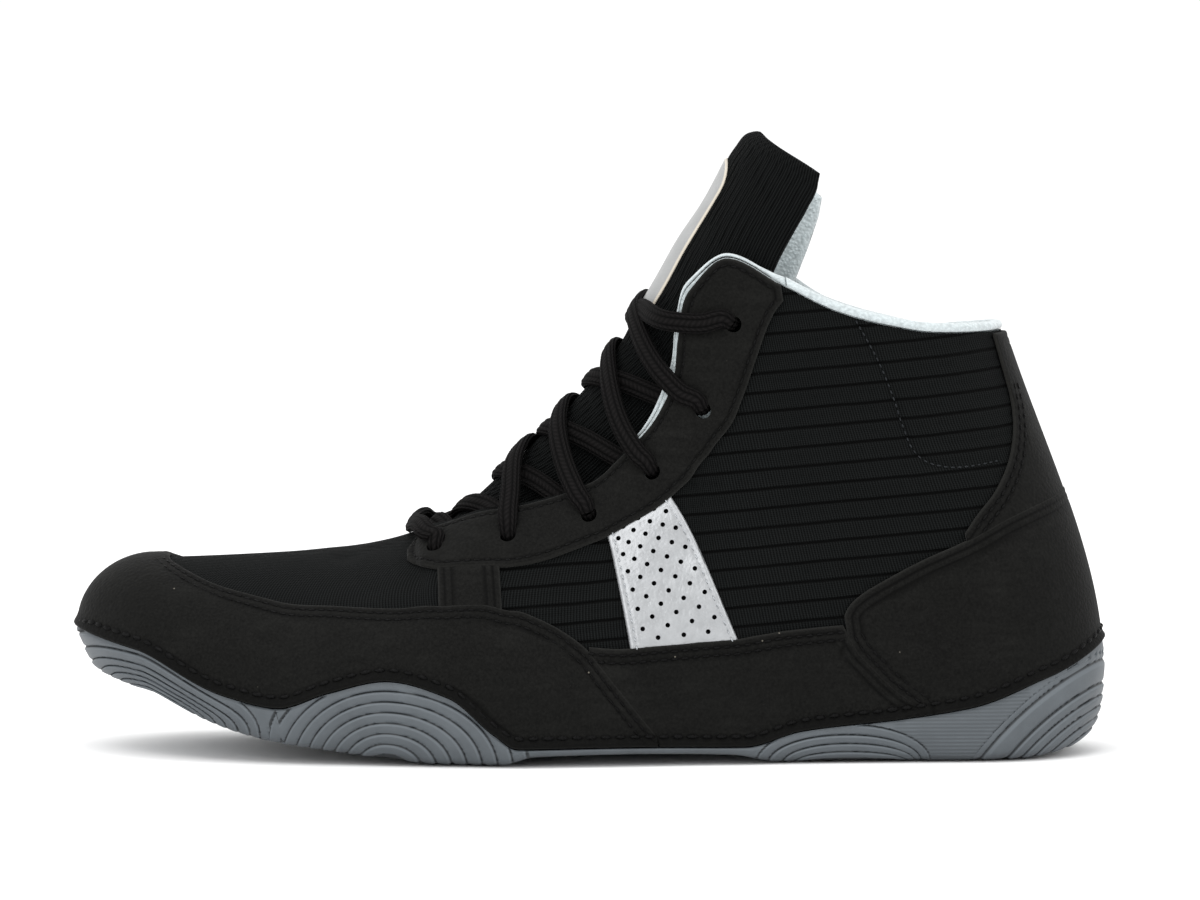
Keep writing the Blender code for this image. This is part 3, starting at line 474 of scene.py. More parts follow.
rand_top = edge_line(TOE_RAND_TOP)
side_panel_top = edge_line(SIDE_PANEL_TOP)
counter_front = edge_line(COUNTER_FRONT)
counter_top = edge_line(COUNTER_TOP)
strip_front = edge_line(STRIP_FRONT)
eyestay_inner = edge_line(EYESTAY_INNER)
eyestay_outer = edge_line(EYESTAY_OUTER)


def through(points, count, guide=None):
    """A smooth path through the points, as count places evenly along it, or along the guide points."""
    points = np.array(points)
    steps = np.linalg.norm(np.diff(points if guide is None else guide, axis=0), axis=1)
    at = np.concatenate([[0.0], np.cumsum(steps)])
    slopes = np.gradient(points, at, axis=0)
    place = np.linspace(0, at[-1], count)
    i = np.clip(np.searchsorted(at, place, side="right") - 1, 0, len(at) - 2)
    h = (at[i + 1] - at[i])[:, None]
    s = ((place - at[i])[:, None]) / h
    return (
        points[i] * (1 + 2 * s) * (1 - s) ** 2
        + slopes[i] * h * s * (1 - s) ** 2
        + points[i + 1] * s**2 * (3 - 2 * s)
        + slopes[i + 1] * h * s**2 * (s - 1)
    )


# Materials


def colour(code):
    """An sRGB hex colour as linear red, green and blue."""
    parts = [int(code[i:i + 2], 16) / 255 for i in (1, 3, 5)]
    return tuple(v / 12.92 if v <= 0.04045 else ((v + 0.055) / 1.055) ** 2.4 for v in parts)


def rgba(values, factor=1.0):
    return (*(v * factor for v in values), 1.0)


def node(tree, kind, sockets=None, out=0, **settings):
    """Add a node with its settings, give its sockets values or links, and return one of its outputs."""
    item = tree.nodes.new(kind if "Node" in kind else "ShaderNode" + kind)
    for name, value in settings.items():
        setattr(item, name, value)
    for name, value in (sockets or {}).items():
        if isinstance(value, bpy.types.NodeSocket):
            tree.links.new(value, item.inputs[name])
        else:
            item.inputs[name].default_value = value
    return item.outputs[out] if item.outputs else item


FINISH_SOCKETS = {
    "roughness": "Roughness",
    "metallic": "Metallic",
    "specular": "Specular IOR Level",
    "sheen": "Sheen Weight",
    "sheen_roughness": "Sheen Roughness",
}


def new_material(name, **finish):
    """A material, its tree and its shader; the finish holds what is the same all over the surface."""
    material = bpy.data.materials.new(name)
    material.use_nodes = True
    tree = material.node_tree
    tree.nodes.clear()
    surface = node(tree, "BsdfPrincipled", {FINISH_SOCKETS[key]: value for key, value in finish.items()})
    node(tree, "OutputMaterial", {"Surface": surface})
    return material, tree, surface.node


def dress(tree, shader, base, height, depth, strength=1.0):
    """Give the shader its colour and a relief of the given depth in metres."""
    bump = node(tree, "Bump", {"Height": height, "Distance": depth, "Strength": strength})
    tree.links.new(base, shader.inputs["Base Color"])
    tree.links.new(bump, shader.inputs["Normal"])


def shade(tree, value, span, first, second, to=(0.0, 1.0)):
    """A colour that goes from first to second while the value runs over the span."""
    sockets = {"Value": value, "From Min": span[0], "From Max": span[1], "To Min": to[0], "To Max": to[1]}
    share = node(tree, "MapRange", sockets)
    return node(tree, "Mix", {0: share, 6: first, 7: second}, 2, data_type="RGBA")


def band_scale(pitch):
    """The Wave texture's scale for a pitch in the units of its coordinates."""
    return math.pi / (10 * pitch)


def knit_material(name, base, ribs_only=False):
    """Warp-knit polyester: matt black, fine upright ribs crossed by small loops, and deep level grooves."""
    material, tree, shader = new_material(name, roughness=0.86, specular=0.06)
    uv = node(tree, "UVMap", uv_map=UV_NAME)
    wander = node(tree, "TexNoise", {"Vector": uv, "Scale": 0.12, "Detail": 2.0}, "Color")
    bend = node(tree, "VectorMath", {0: wander, "Scale": 0.35}, operation="SCALE")
    bent = node(tree, "VectorMath", {0: uv, 1: bend}, operation="ADD")
    rib, loop = (
        node(tree, "TexWave", {"Vector": bent, "Scale": band_scale(pitch)}, "Fac", bands_direction=way)
        for pitch, way in ((RIB_PITCH_MM, "X"), (LOOP_PITCH_MM, "Y"))
    )
    woven = node(tree, "Math", {0: loop, 1: 0.45}, operation="MULTIPLY")
    cloth = node(tree, "Math", {0: rib, 1: woven}, operation="ADD")
    if ribs_only:
        height, recess_shade, lowest = cloth, cloth, 0.2
    else:
        saw = node(tree, "TexWave", {"Vector": bent, "Scale": band_scale(GROOVE_PITCH_MM)}, "Fac",
                   bands_direction="Y", wave_profile="SAW")
        centred = node(tree, "Math", {0: saw, 1: 0.5}, operation="SUBTRACT")
        away = node(tree, "Math", {0: centred}, operation="ABSOLUTE")
        level = node(tree, "MapRange", {"Value": away, "From Min": 0.02, "From Max": 0.12},
                     interpolation_type="SMOOTHSTEP")
        grooved = node(tree, "Attribute", out="Fac", attribute_name="groove")
        flat = node(tree, "Math", {0: 1.0, 1: grooved}, operation="SUBTRACT")
        level = node(tree, "Math", {0: level, 1: flat}, operation="MAXIMUM")
        body = node(tree, "Math", {0: cloth, 1: 0.5}, operation="MULTIPLY")
        lifted = node(tree, "Math", {0: level, 1: 1.6}, operation="MULTIPLY")
        height = node(tree, "Math", {0: body, 1: lifted}, operation="ADD")
        recess_shade = node(tree, "Math", {0: cloth, 1: level}, operation="MULTIPLY")
        lowest = 0.0
    # Painted shade: the colour darkens where the ribs and loops sink, and in the level grooves
    tone = shade(tree, recess_shade, (lowest, 1.4), rgba(base, 0.05), rgba(base, 3.3))
    dress(tree, shader, tone, height, 0.00036)
    return material


def nubuck_material(base):
    """Nubuck: buffed cowhide with a short nap, near black, brushed lighter in patches, with a painted
    highlight along its cut edges, painted shade in its stitch channels and a darker band below the sole
    stitch.
    """
    finish = {"roughness": 0.88, "specular": 0.07, "sheen": 0.04, "sheen_roughness": 0.45}
    material, tree, shader = new_material("nubuck_black", **finish)
    place = node(tree, "TexCoord", out="Object")
    patches = node(tree, "TexNoise", {"Vector": place, "Scale": 55.0, "Detail": 4.0, "Roughness": 0.6})
    strokes = node(tree, "Mapping", {"Vector": place, "Scale": (60.0, 200.0, 420.0)})
    brushed = node(tree, "TexNoise", {"Vector": strokes, "Scale": 1.0, "Detail": 3.0})
    nap = node(tree, "TexNoise", {"Vector": place, "Scale": 1300.0, "Detail": 4.0, "Roughness": 0.75})
    grain = node(tree, "TexVoronoi", {"Vector": place, "Scale": 900.0}, feature="F1")
    patch = node(tree, "MapRange", {"Value": patches, "From Min": 0.35, "From Max": 0.68},
                 interpolation_type="SMOOTHSTEP")
    stroke = node(tree, "MapRange", {"Value": brushed, "From Min": 0.4, "From Max": 0.75})
    worn = node(tree, "Math", {0: patch, 1: stroke}, operation="MULTIPLY")
    tone = node(tree, "Mix", {0: worn, 6: rgba(base, 0.8), 7: rgba(base, 2.1)}, 2, data_type="RGBA")
    flecked = shade(tree, nap, (0.35, 0.75), rgba(base, 0.3), rgba(base, 2.6))
    tone = node(tree, "Mix", {0: 0.5, 6: tone, 7: flecked}, 2, data_type="RGBA")
    # Painted highlight: the colour lightens towards the rounded cut edges
    edge = node(tree, "Attribute", out="Fac", attribute_name="edge")
    tone = shade(tree, edge, (0.0, 0.7), tone, rgba(base, 4.0), to=(0.55, 0.0))
    # Painted shade: darker in the sunk stitch channels, and darker on the band below the sole stitch
    row = node(tree, "Attribute", out="Fac", attribute_name="row")
    tone = node(tree, "Mix", {0: row, 6: tone, 7: rgba(base, 0.2)}, 2, data_type="RGBA")
    # Dust: a few pale specks about 0.3 mm across
    specks = node(tree, "TexVoronoi", {"Vector": place, "Scale": 210.0}, feature="F1")
    sockets = {"Value": specks, "From Min": 0.035, "From Max": 0.06, "To Min": 1.0, "To Max": 0.0}
    close = node(tree, "MapRange", sockets)
    chosen = node(tree, "SeparateColor", {"Color": specks.node.outputs["Color"]})
    few = node(tree, "Math", {0: chosen, 1: 0.9}, operation="GREATER_THAN")
    dust = node(tree, "Math", {0: close, 1: few}, operation="MULTIPLY")
    dust = node(tree, "Math", {0: dust, 1: 0.35}, operation="MULTIPLY")
    tone = node(tree, "Mix", {0: dust, 6: tone, 7: rgba(colour("#9a9488"))}, 2, data_type="RGBA")
    fine = node(tree, "Math", {0: nap, 1: 0.6}, operation="MULTIPLY")
    height = node(tree, "Math", {0: fine, 1: grain}, operation="ADD")
    dress(tree, shader, tone, height, 0.00018, 0.7)
    return material


def rubber_material(base):
    """Moulded rubber: grey, satin, with painted shade in the ring and rib grooves, a painted highlight on the
    crest inside each ring, and a faint mottle.
    """
    material, tree, shader = new_material("rubber_grey_moulded", roughness=0.5, specular=0.25)
    place = node(tree, "TexCoord", out="Object")
    mottle = node(tree, "TexNoise", {"Vector": place, "Scale": 90.0, "Detail": 4.0, "Roughness": 0.6})
    pores = node(tree, "TexNoise", {"Vector": place, "Scale": 2400.0, "Detail": 2.0})
    tone = shade(tree, mottle, (0.3, 0.7), rgba(base, 0.88), rgba(base, 1.12))
    # The moulded rings: painted shade as a dark line in the groove at each whole number, and a painted
    # highlight on the crest just inside it
    ring = node(tree, "Attribute", out="Fac", attribute_name="ring")
    ring = node(tree, "Math", {0: ring, 1: -0.5}, operation="MAXIMUM")
    for centre, half, factor in ((0.15, 0.10, 1.25), (0.0, 0.09, 0.3)):
        moved = node(tree, "Math", {0: ring, 1: centre}, operation="SUBTRACT")
        away = node(tree, "Math", {0: moved, 1: 0.5}, operation="PINGPONG")
        tone = shade(tree, away, (half * 0.45, half), tone, rgba(base, factor), to=(1.0, 0.0))
    ribbed = node(tree, "Attribute", out="Fac", attribute_name="ribbed")
    rib = node(tree, "TexWave", {"Vector": place, "Scale": band_scale(RUBBER_RIB_PITCH)}, "Fac",
               bands_direction="Z")
    ribs = node(tree, "Math", {0: rib, 1: ribbed}, operation="MULTIPLY")
    # Painted shade: darker in the grooves between the moulded ribs
    tone = node(tree, "Mix", {0: ribs, 6: tone, 7: rgba(base, 0.75)}, 2, data_type="RGBA")
    ribs = node(tree, "Math", {0: ribs, 1: 0.35}, operation="MULTIPLY")
    grain = node(tree, "Math", {0: pores, 1: 0.15}, operation="MULTIPLY")
    height = node(tree, "Math", {0: grain, 1: ribs}, operation="SUBTRACT")
    dress(tree, shader, tone, height, 0.0003, 0.6)
    return material


def silver_material(base):
    """Silver-coated synthetic leather: metallic film over a fine pebble grain, slightly crumpled."""
    material, tree, shader = new_material("synthetic_silver", roughness=0.42, metallic=0.75, specular=0.5)
    place = node(tree, "TexCoord", out="Object")
    crumple = node(tree, "TexNoise", {"Vector": place, "Scale": 240.0, "Detail": 4.0, "Roughness": 0.65})
    grain = node(tree, "TexVoronoi", {"Vector": place, "Scale": 1100.0}, feature="SMOOTH_F1")
    tone = shade(tree, crumple, (0.3, 0.7), rgba(base, 0.86), rgba(base, 1.05))
    fine = node(tree, "Math", {0: grain, 1: 0.25}, operation="MULTIPLY")
    height = node(tree, "Math", {0: crumple, 1: fine}, operation="ADD")
    dress(tree, shader, tone, height, 0.00045, 0.8)
    return material


def terry_material(name, base):
    """Brushed terry lining: pale blue-grey, short loops about 0.8 mm apart, soft and matt."""
    material, tree, shader = new_material(name, roughness=0.95, specular=0.15, sheen=0.5, sheen_roughness=0.6)
    place = node(tree, "TexCoord", out="Object")
    loops = node(tree, "TexVoronoi", {"Vector": place, "Scale": 1250.0}, feature="SMOOTH_F1")
    fluff = node(tree, "TexNoise", {"Vector": place, "Scale": 420.0, "Detail": 4.0, "Roughness": 0.7})
    tone = shade(tree, loops, (0.15, 0.75), rgba(base, 1.04), rgba(base, 0.72))
    tone = shade(tree, fluff, (0.45, 0.8), tone, rgba(base, 0.8), to=(0.0, 0.3))
    low = node(tree, "Math", {0: 1.0, 1: loops}, operation="SUBTRACT")
    height = node(tree, "Math", {0: low, 1: fluff}, operation="ADD")
    dress(tree, shader, tone, height, 0.0004, 0.9)
    return material


def lace_material(base):
    """Braided polyester lace: black, slightly glossy yarns crossing in a herringbone."""
    material, tree, shader = new_material("lace_black_braid", roughness=0.75, specular=0.05)
    uv = node(tree, "UVMap", uv_map=UV_NAME)
    around = node(tree, "SeparateXYZ", {"Vector": uv})
    fold = node(tree, "Math", {0: around, 1: BRAID_WIDTH_MM}, operation="PINGPONG")
    lean = node(tree, "Math", {0: fold, 1: BRAID_SLANT}, operation="MULTIPLY")
    slant = node(tree, "Math", {0: around.node.outputs["Y"], 1: lean}, operation="ADD")
    folded = node(tree, "CombineXYZ", {"X": slant})
    yarn = node(tree, "TexWave", {"Vector": folded, "Scale": band_scale(BRAID_PITCH_MM)}, "Fac",
                bands_direction="X")
    turn = node(tree, "Math", {0: fold, 1: math.pi / BRAID_WIDTH_MM}, operation="MULTIPLY")
    column = node(tree, "Math", {0: turn}, operation="SINE")
    soft = node(tree, "MapRange", {"Value": yarn, "To Min": 0.45, "To Max": 1.0})
    height = node(tree, "Math", {0: column, 1: soft}, operation="MULTIPLY")
    # Painted shade and highlight: the braid darkens between its yarns and lightens on their crests
    tone = node(tree, "Mix", {0: height, 6: rgba(base, 0.1), 7: rgba(base, 2.4)}, 2, data_type="RGBA")
    dress(tree, shader, tone, height, 0.0003)
    return material


def label_material(base):
    """Smooth pale grey tape on the tongue: woven satin with a slight shine, its threads 0.6 mm apart."""
    material, tree, shader = new_material("satin_tape_grey", roughness=0.45, specular=0.4, sheen=0.1)
    place = node(tree, "TexCoord", out="Object")
    threads = node(tree, "TexWave", {"Vector": place, "Scale": band_scale(0.0006)}, "Fac",
                   bands_direction="Z")
    soft = node(tree, "TexNoise", {"Vector": place, "Scale": 160.0, "Detail": 3.0})
    tone = shade(tree, soft, (0.3, 0.7), rgba(base, 0.9), rgba(base, 1.04))
    edge = node(tree, "Attribute", out="Fac", attribute_name="edge")
    tone = shade(tree, edge, (0.4, 0.8), tone, rgba(colour("#c9bfae")), to=(0.7, 0.0))
    dress(tree, shader, tone, threads, 0.00003, 0.5)
    return material


def thread_material(name, base):
    """Bonded nylon sewing thread, slightly glossy, its twist 0.5 mm long."""
    material, tree, shader = new_material(name, roughness=0.5, specular=0.08)
    place = node(tree, "TexCoord", out="Object")
    twist = node(tree, "TexWave", {"Vector": place, "Scale": band_scale(0.0005)}, "Fac",
                 bands_direction="DIAGONAL")
    tone = node(tree, "Mix", {0: twist, 6: rgba(base, 0.6), 7: rgba(base, 1.3)}, 2, data_type="RGBA")
    dress(tree, shader, tone, twist, 0.00008)
    return material


def insole_material(base):
    """Insole cloth: flat grey brushed fabric with a fine plain weave, 1 mm a thread."""
    material, tree, shader = new_material("insole_cloth", roughness=0.92, specular=0.15, sheen=0.3)
    place = node(tree, "TexCoord", out="Object")
    warp, weft = (
        node(tree, "TexWave", {"Vector": place, "Scale": band_scale(0.0010)}, "Fac", bands_direction=way)
        for way in "XY"
    )
    height = node(tree, "Math", {0: warp, 1: weft}, operation="MULTIPLY")
    tone = node(tree, "Mix", {0: height, 6: rgba(base, 0.7), 7: rgba(base, 1.1)}, 2, data_type="RGBA")
    dress(tree, shader, tone, height, 0.0002)
    return material


def floor_material(base):
    """Matt white seamless paper: even, with a barely visible tooth."""
    material, tree, shader = new_material("seamless_paper_white", roughness=0.9, specular=0.1)
    place = node(tree, "TexCoord", out="Object")
    tooth = node(tree, "TexNoise", {"Vector": place, "Scale": 900.0, "Detail": 2.0})
    tone = node(tree, "Mix", {0: tooth, 6: rgba(base, 0.99), 7: rgba(base)}, 2, data_type="RGBA")
    dress(tree, shader, tone, tooth, 0.00002, 0.2)
    return material


def make_materials(colours):
    """Every finish of the shoe, by the name that the pieces use."""
    return {
        "knit": knit_material("knit_black_ribbed", colours.knit),
        "tongue_knit": knit_material("knit_black_corded", colours.knit, ribs_only=True),
        "nubuck": nubuck_material(colours.nubuck),
        "rubber": rubber_material(colours.rubber),
        "silver": silver_material(colours.silver),
        "lining": terry_material("terry_blue_grey", colours.lining),
        "lace": lace_material(colours.lace),
        "label": label_material(colours.label),
        "thread": thread_material("thread_black_nylon", colours.thread),
        "seam_thread": thread_material("thread_grey_nylon", colours.seam),
        "quilt_thread": thread_material("thread_charcoal_nylon", colours.quilt),
        "insole": insole_material(colours.insole),
        "floor": floor_material(colours.floor),
    }


# Creases: soft troughs and ridges on the wall: side, share along the length and how far up the wall
# at both ends, then width and depth in metres
CREASES = (
    (LATERAL, 0.335, 0.560, 0.300, 0.860, 0.0050, -0.0007),
    (LATERAL, 0.285, 0.520, 0.262, 0.830, 0.0042, -0.0006),
    (MEDIAL, 0.330, 0.560, 0.300, 0.860, 0.0050, -0.0007),
    (MEDIAL, 0.285, 0.520, 0.262, 0.830, 0.0042, -0.0006),
    (LATERAL, 0.262, 0.830, 0.268, 1.000, 0.0042, -0.0005),
    (LATERAL, 0.225, 0.250, 0.330, 0.300, 0.0060, -0.0006),
    (MEDIAL, 0.230, 0.250, 0.330, 0.290, 0.0060, -0.0006),
    (LATERAL, 0.480, 0.430, 0.520, 0.620, 0.0050, -0.0008),
    (MEDIAL, 0.480, 0.430, 0.520, 0.620, 0.0050, -0.0008),
    (LATERAL, 0.600, 0.500, 0.690, 0.560, 0.0060, -0.0009),
    (LATERAL, 0.700, 0.420, 0.780, 0.520, 0.0070, -0.0010),
    (MEDIAL, 0.690, 0.430, 0.780, 0.520, 0.0070, -0.0010),
    (LATERAL, 0.760, 0.700, 0.840, 0.760, 0.0080, -0.0009),
    (MEDIAL, 0.750, 0.700, 0.840, 0.740, 0.0080, -0.0009),
    (LATERAL, 0.800, 0.560, 0.900, 0.600, 0.0060, 0.0007),
    (MEDIAL, 0.800, 0.560, 0.900, 0.600, 0.0060, 0.0007),
)
# The quilted line round the ankle bone: share along the length and how far up the wall
QUILT_LINE = (
    (0.821, 0.990), (0.8365, 0.893), (0.8455, 0.797), (0.8496, 0.723), (0.855, 0.670), (0.863, 0.647),
    (0.882, 0.633), (0.913, 0.628), (0.942, 0.628),
)
QUILT_WIDE = 0.0011
QUILT_DEEP = 0.0006


def segment_distance(points, start, end):
    """How far each point is from the straight stretch between two places."""
    run = end - start
    share = np.clip(((points - start) @ run) / (run @ run), 0, 1)
    return np.linalg.norm(points - start - share[..., None] * run, axis=-1)


def line_distance(points, line):
    """How far each point is from a line through many places."""
    flat = points.reshape(-1, 3)
    best = np.full(len(flat), 1.0)
    for start, end in zip(line, line[1:]):
        if np.linalg.norm(end - start) > 1e-7:
            best = np.minimum(best, segment_distance(flat, start, end))
    return best.reshape(points.shape[:-1])


def wall_line(side, table):
    """A table of places on the wall as a line of points."""
    rows = np.array(table, float)
    return wall_point(side, angle_at(rows[:, 0]), rows[:, 1])


def crease_lines():
    """Each crease and quilted line as its places on the wall, its width and its depth."""
    lines = []
    for side, at, rise, to_at, to_rise, wide, deep in CREASES:
        lines.append((wall_line(side, ((at, rise), (to_at, to_rise))), wide, deep))
    for side in BOTH:
        lines.append((wall_line(side, QUILT_LINE), QUILT_WIDE, -QUILT_DEEP))
    return lines


crease_list = crease_lines()


def relief(points):
    """How far the creases lift the wall at each point, below zero where they sink it."""
    total = np.zeros(points.shape[:-1])
    for line, wide, deep in crease_list:
        total += deep * np.exp(-((line_distance(points, line) / wide) ** 2))
    return total


def skin(side, angle, rise, offset):
    """The upper's creased surface moved out by offset, or in where offset is negative."""
    base = wall_point(side, angle, rise)
    lift = np.broadcast_to(np.asarray(offset, float), base.shape[:-1]) + relief(base)
    return base + wall_normal(side, angle, rise) * lift[..., None]


class Shell:
    """Points, faces, UV and attributes of one piece while it is put together."""

    def __init__(self, *attributes):
        self.points, self.faces, self.slots, self.uvs = [], [], [], []
        self.attributes = {name: [] for name in attributes}
        self.count = 0

    def add(self, block, uv=None, **values):
        """Add a grid of points with its UV in millimetres; returns the grid of their numbers."""
        shape = block.shape[:-1]
        size = block[..., 0].size
        ids = np.arange(size).reshape(shape) + self.count
        self.count += size
        self.points.append(block.reshape(-1, 3))
        self.uvs.append(np.zeros((size, 2)) if uv is None else uv.reshape(-1, 2))
        for name, store in self.attributes.items():
            store.append(np.broadcast_to(values.get(name, 0.0), shape).ravel())
        return ids

    def quads(self, a, b, c, d, slot):
        self.faces.append(np.stack([a, b, c, d], axis=-1).reshape(-1, 4))
        self.slots.append(np.broadcast_to(slot, a.shape).ravel())

    def cover(self, grid, slot=0):
        self.quads(grid[:-1, :-1], grid[:-1, 1:], grid[1:, 1:], grid[1:, :-1], slot)

    def strip(self, first, second, slot=0, skip=None):
        keep = slice(None) if skip is None else ~np.asarray(skip)
        slot = np.broadcast_to(slot, first[1:].shape)[keep]
        self.quads(first[:-1][keep], first[1:][keep], second[1:][keep], second[:-1][keep], slot)

    def plate(self, outer, inner, sides, closed=None, slots=(0, 0, 0)):
        """A sheet with thickness from two grids of numbers, closed over on the named sides."""
        self.cover(outer, slots[0])
        self.cover(inner, slots[1])
        for name, pick in (("low", 0), ("high", -1)):
            if name in sides:
                self.strip(outer[pick], inner[pick], slots[2], closed if name == "high" else None)
        for name, pick in (("start", 0), ("end", -1)):
            if name in sides:
                self.strip(outer[:, pick], inner[:, pick], slots[2])

    def cap(self, ring, slot=0):
        """Close the end of a tube over its middle."""
        points = np.concatenate(self.points)[ring[:-1]]
        middle = self.add(points.mean(axis=0)[None])
        ids = np.broadcast_to(middle, ring[:-1].shape)
        self.quads(ring[:-1], ring[1:], ids, ids, slot)

    def finish(self, name, materials):
        """The finished object, welded, with its faces turned outwards."""
        mesh = bpy.data.meshes.new(name)
        faces = np.concatenate(self.faces)
        mesh.from_pydata(np.concatenate(self.points).tolist(), [], faces.tolist())
        for material in materials:
            mesh.materials.append(material)
        mesh.polygons.foreach_set("material_index", np.concatenate(self.slots).astype(np.int32))
        layer = mesh.uv_layers.new(name=UV_NAME)
        corners = np.empty(len(mesh.loops), dtype=np.int32)
        mesh.loops.foreach_get("vertex_index", corners)
        layer.data.foreach_set("uv", np.concatenate(self.uvs)[corners].ravel())
        for key, store in self.attributes.items():
            attribute = mesh.attributes.new(key, "FLOAT", "POINT")
            attribute.data.foreach_set("value", np.concatenate(store))
        work = bmesh.new()
        work.from_mesh(mesh)
        bmesh.ops.remove_doubles(work, verts=work.verts, dist=WELD)
        bmesh.ops.dissolve_degenerate(work, edges=work.edges, dist=WELD / 10)
        loose = [v for v in work.verts if not v.link_faces]
        bmesh.ops.delete(work, geom=loose, context="VERTS")
        bmesh.ops.recalc_face_normals(work, faces=work.faces)
        work.to_mesh(mesh)
        work.free()
        return add_object(name, mesh)


def link_object(name, data):
    """Put a mesh, a lamp or a camera in the scene."""
    item = bpy.data.objects.new(name, data)
    bpy.context.scene.collection.objects.link(item)
    return item


def add_object(name, mesh):
    """Put a finished mesh in the scene, shaded smooth except over sharp edges."""
    mesh.shade_smooth()
    mesh.set_sharp_from_angle(angle=math.radians(55))
    return link_object(name, mesh)


def seat(item, slot, *nodes):
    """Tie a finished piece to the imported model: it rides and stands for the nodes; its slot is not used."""
    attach(item, "root")
    if nodes:
        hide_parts(*nodes)


def run_lengths(points, axis):
    """The distance along each row or column of a grid, from its first point."""
    steps = np.linalg.norm(np.diff(points, axis=axis), axis=-1)
    start = np.zeros_like(np.take(steps, [0], axis=axis))
    return np.concatenate([start, np.cumsum(steps, axis=axis)], axis=axis)


def spaced_angles(side, start, end, spacing, rise, fine_start=False, fine_end=False, extra=()):
    """Angles of a panel's columns: even, close together near its cut ends, and at the extra shares."""
    dense = np.linspace(float(angle_at(start)), float(angle_at(end)), 600)
    length = run_lengths(wall_point(side, dense, rise), 0)
    total = length[-1]
    near = np.array(NEAR_EDGE)
    first = near[-1] if fine_start else 0.0
    last = total - (near[-1] if fine_end else 0.0)
    count = max(2, int(math.ceil((last - first) / spacing)) + 1)
    wanted = [*np.linspace(first, last, count)]
    if fine_start:
        wanted += list(near)
    if fine_end:
        wanted += list(total - near)
    angles = np.interp(sorted(wanted), length, dense)
    own = [a for a in angle_at(extra) if dense[0] < a < dense[-1]]
    merged = np.unique(np.concatenate([angles, own]))
    keep = np.concatenate([[True], np.diff(merged) > 1e-5])
    return merged[keep]


def panel_rises(side, angles, low, high, middle, fine_low, fine_high):
    """How far up the wall a panel's rows run, set close together near its cut long edges."""
    dense = np.linspace(0, 1, 70)[:, None]
    rises = low + (high - low) * dense
    length = run_lengths(wall_point(side, angles[None], rises), 0)
    near = np.array(NEAR_EDGE)
    columns = []
    for i in range(len(angles)):
        total = length[-1, i]
        fit = min(1.0, total / (2.4 * near[-1]))
        first = near * fit if fine_low else np.array([0.0])
        last = total - near[::-1] * fit if fine_high else np.array([total])
        between = np.linspace(first[-1], last[0], middle + 2)[1:-1]
        columns.append(np.interp(np.concatenate([first, between, last]), length[:, i], rises[:, i]))
    return np.array(columns).T


def add_panel(shell, side, angles, low, high, wall, cut, sides, closed=None, lip=False, middle=12,
              channels=STITCH_INSETS):
    """A sheet of nubuck over the wall: rounded cut edges, sunk stitch lines and a turned-out lip."""
    low, high = np.broadcast_to(low, angles.shape), np.broadcast_to(high, angles.shape)
    rises = panel_rises(side, angles, low, high, middle, "low" in cut or lip, "high" in cut)
    grid = np.broadcast_to(angles[None], rises.shape)
    base = wall_point(side, grid, rises)
    edges = {"low": base[0], "high": base[-1], "start": base[:, 0], "end": base[:, -1]}
    if closed is not None:
        edges["high"] = base[-1, int(np.sum(closed)):]
    if low.max() > 0:
        edges["low"] = base[0, low > 1e-6]
    away = np.full(base.shape[:-1], 1.0)
    for name in cut:
        away = np.minimum(away, line_distance(base, edges[name]))
    foot = line_distance(base, wall_point(side, angles, 0.0)) if lip else np.full(away.shape, 1.0)
    nearest = np.minimum(away, foot)
    sewn = np.exp(-(((foot - LIP_STITCH_INSET) / CHANNEL_WIDTH) ** 2))
    for inset in channels:
        sewn = np.maximum(sewn, np.exp(-(((away - inset) / CHANNEL_WIDTH) ** 2)))
    turned = LIP_REACH * np.exp(-((foot / LIP_HEIGHT) ** 2))
    offset = GAP + wall * (0.35 + 0.65 * rounded(nearest, EDGE_ROUND)) + turned - CHANNEL_DEPTH * sewn
    # From here sewn is the row attribute that the nubuck shader paints darker: painted shade in the stitch
    # channels and a darker band below the sole stitch
    sewn = np.maximum(sewn, 0.6 * (foot < LIP_STITCH_INSET))
    uv = np.stack([run_lengths(base, 1), run_lengths(base, 0)], axis=-1) * 1000
    # The edge attribute gives the nubuck its painted highlight along the rounded cut edges
    edge = np.minimum(nearest, EDGE_REACH) * 1000
    outer = shell.add(skin(side, grid, rises, offset), uv, edge=edge, row=sewn)
    inner = shell.add(skin(side, grid, rises, GAP + turned * 0.7), uv)
    shell.plate(outer, inner, sides, closed)


# Geometry Nodes: stitches along a path and punched holes


def add_tree(name, inputs):
    """A Geometry Nodes tree with named inputs; returns it with its inputs and its result socket."""
    tree = bpy.data.node_groups.new(name, "GeometryNodeTree")
    for label, kind in {"Geometry": "Geometry", **inputs}.items():
        tree.interface.new_socket(label, in_out="INPUT", socket_type="NodeSocket" + kind)
    tree.interface.new_socket("Geometry", in_out="OUTPUT", socket_type="NodeSocketGeometry")
    given, result = tree.nodes.new("NodeGroupInput"), tree.nodes.new("NodeGroupOutput")
    return tree, given.outputs, result.inputs[0]


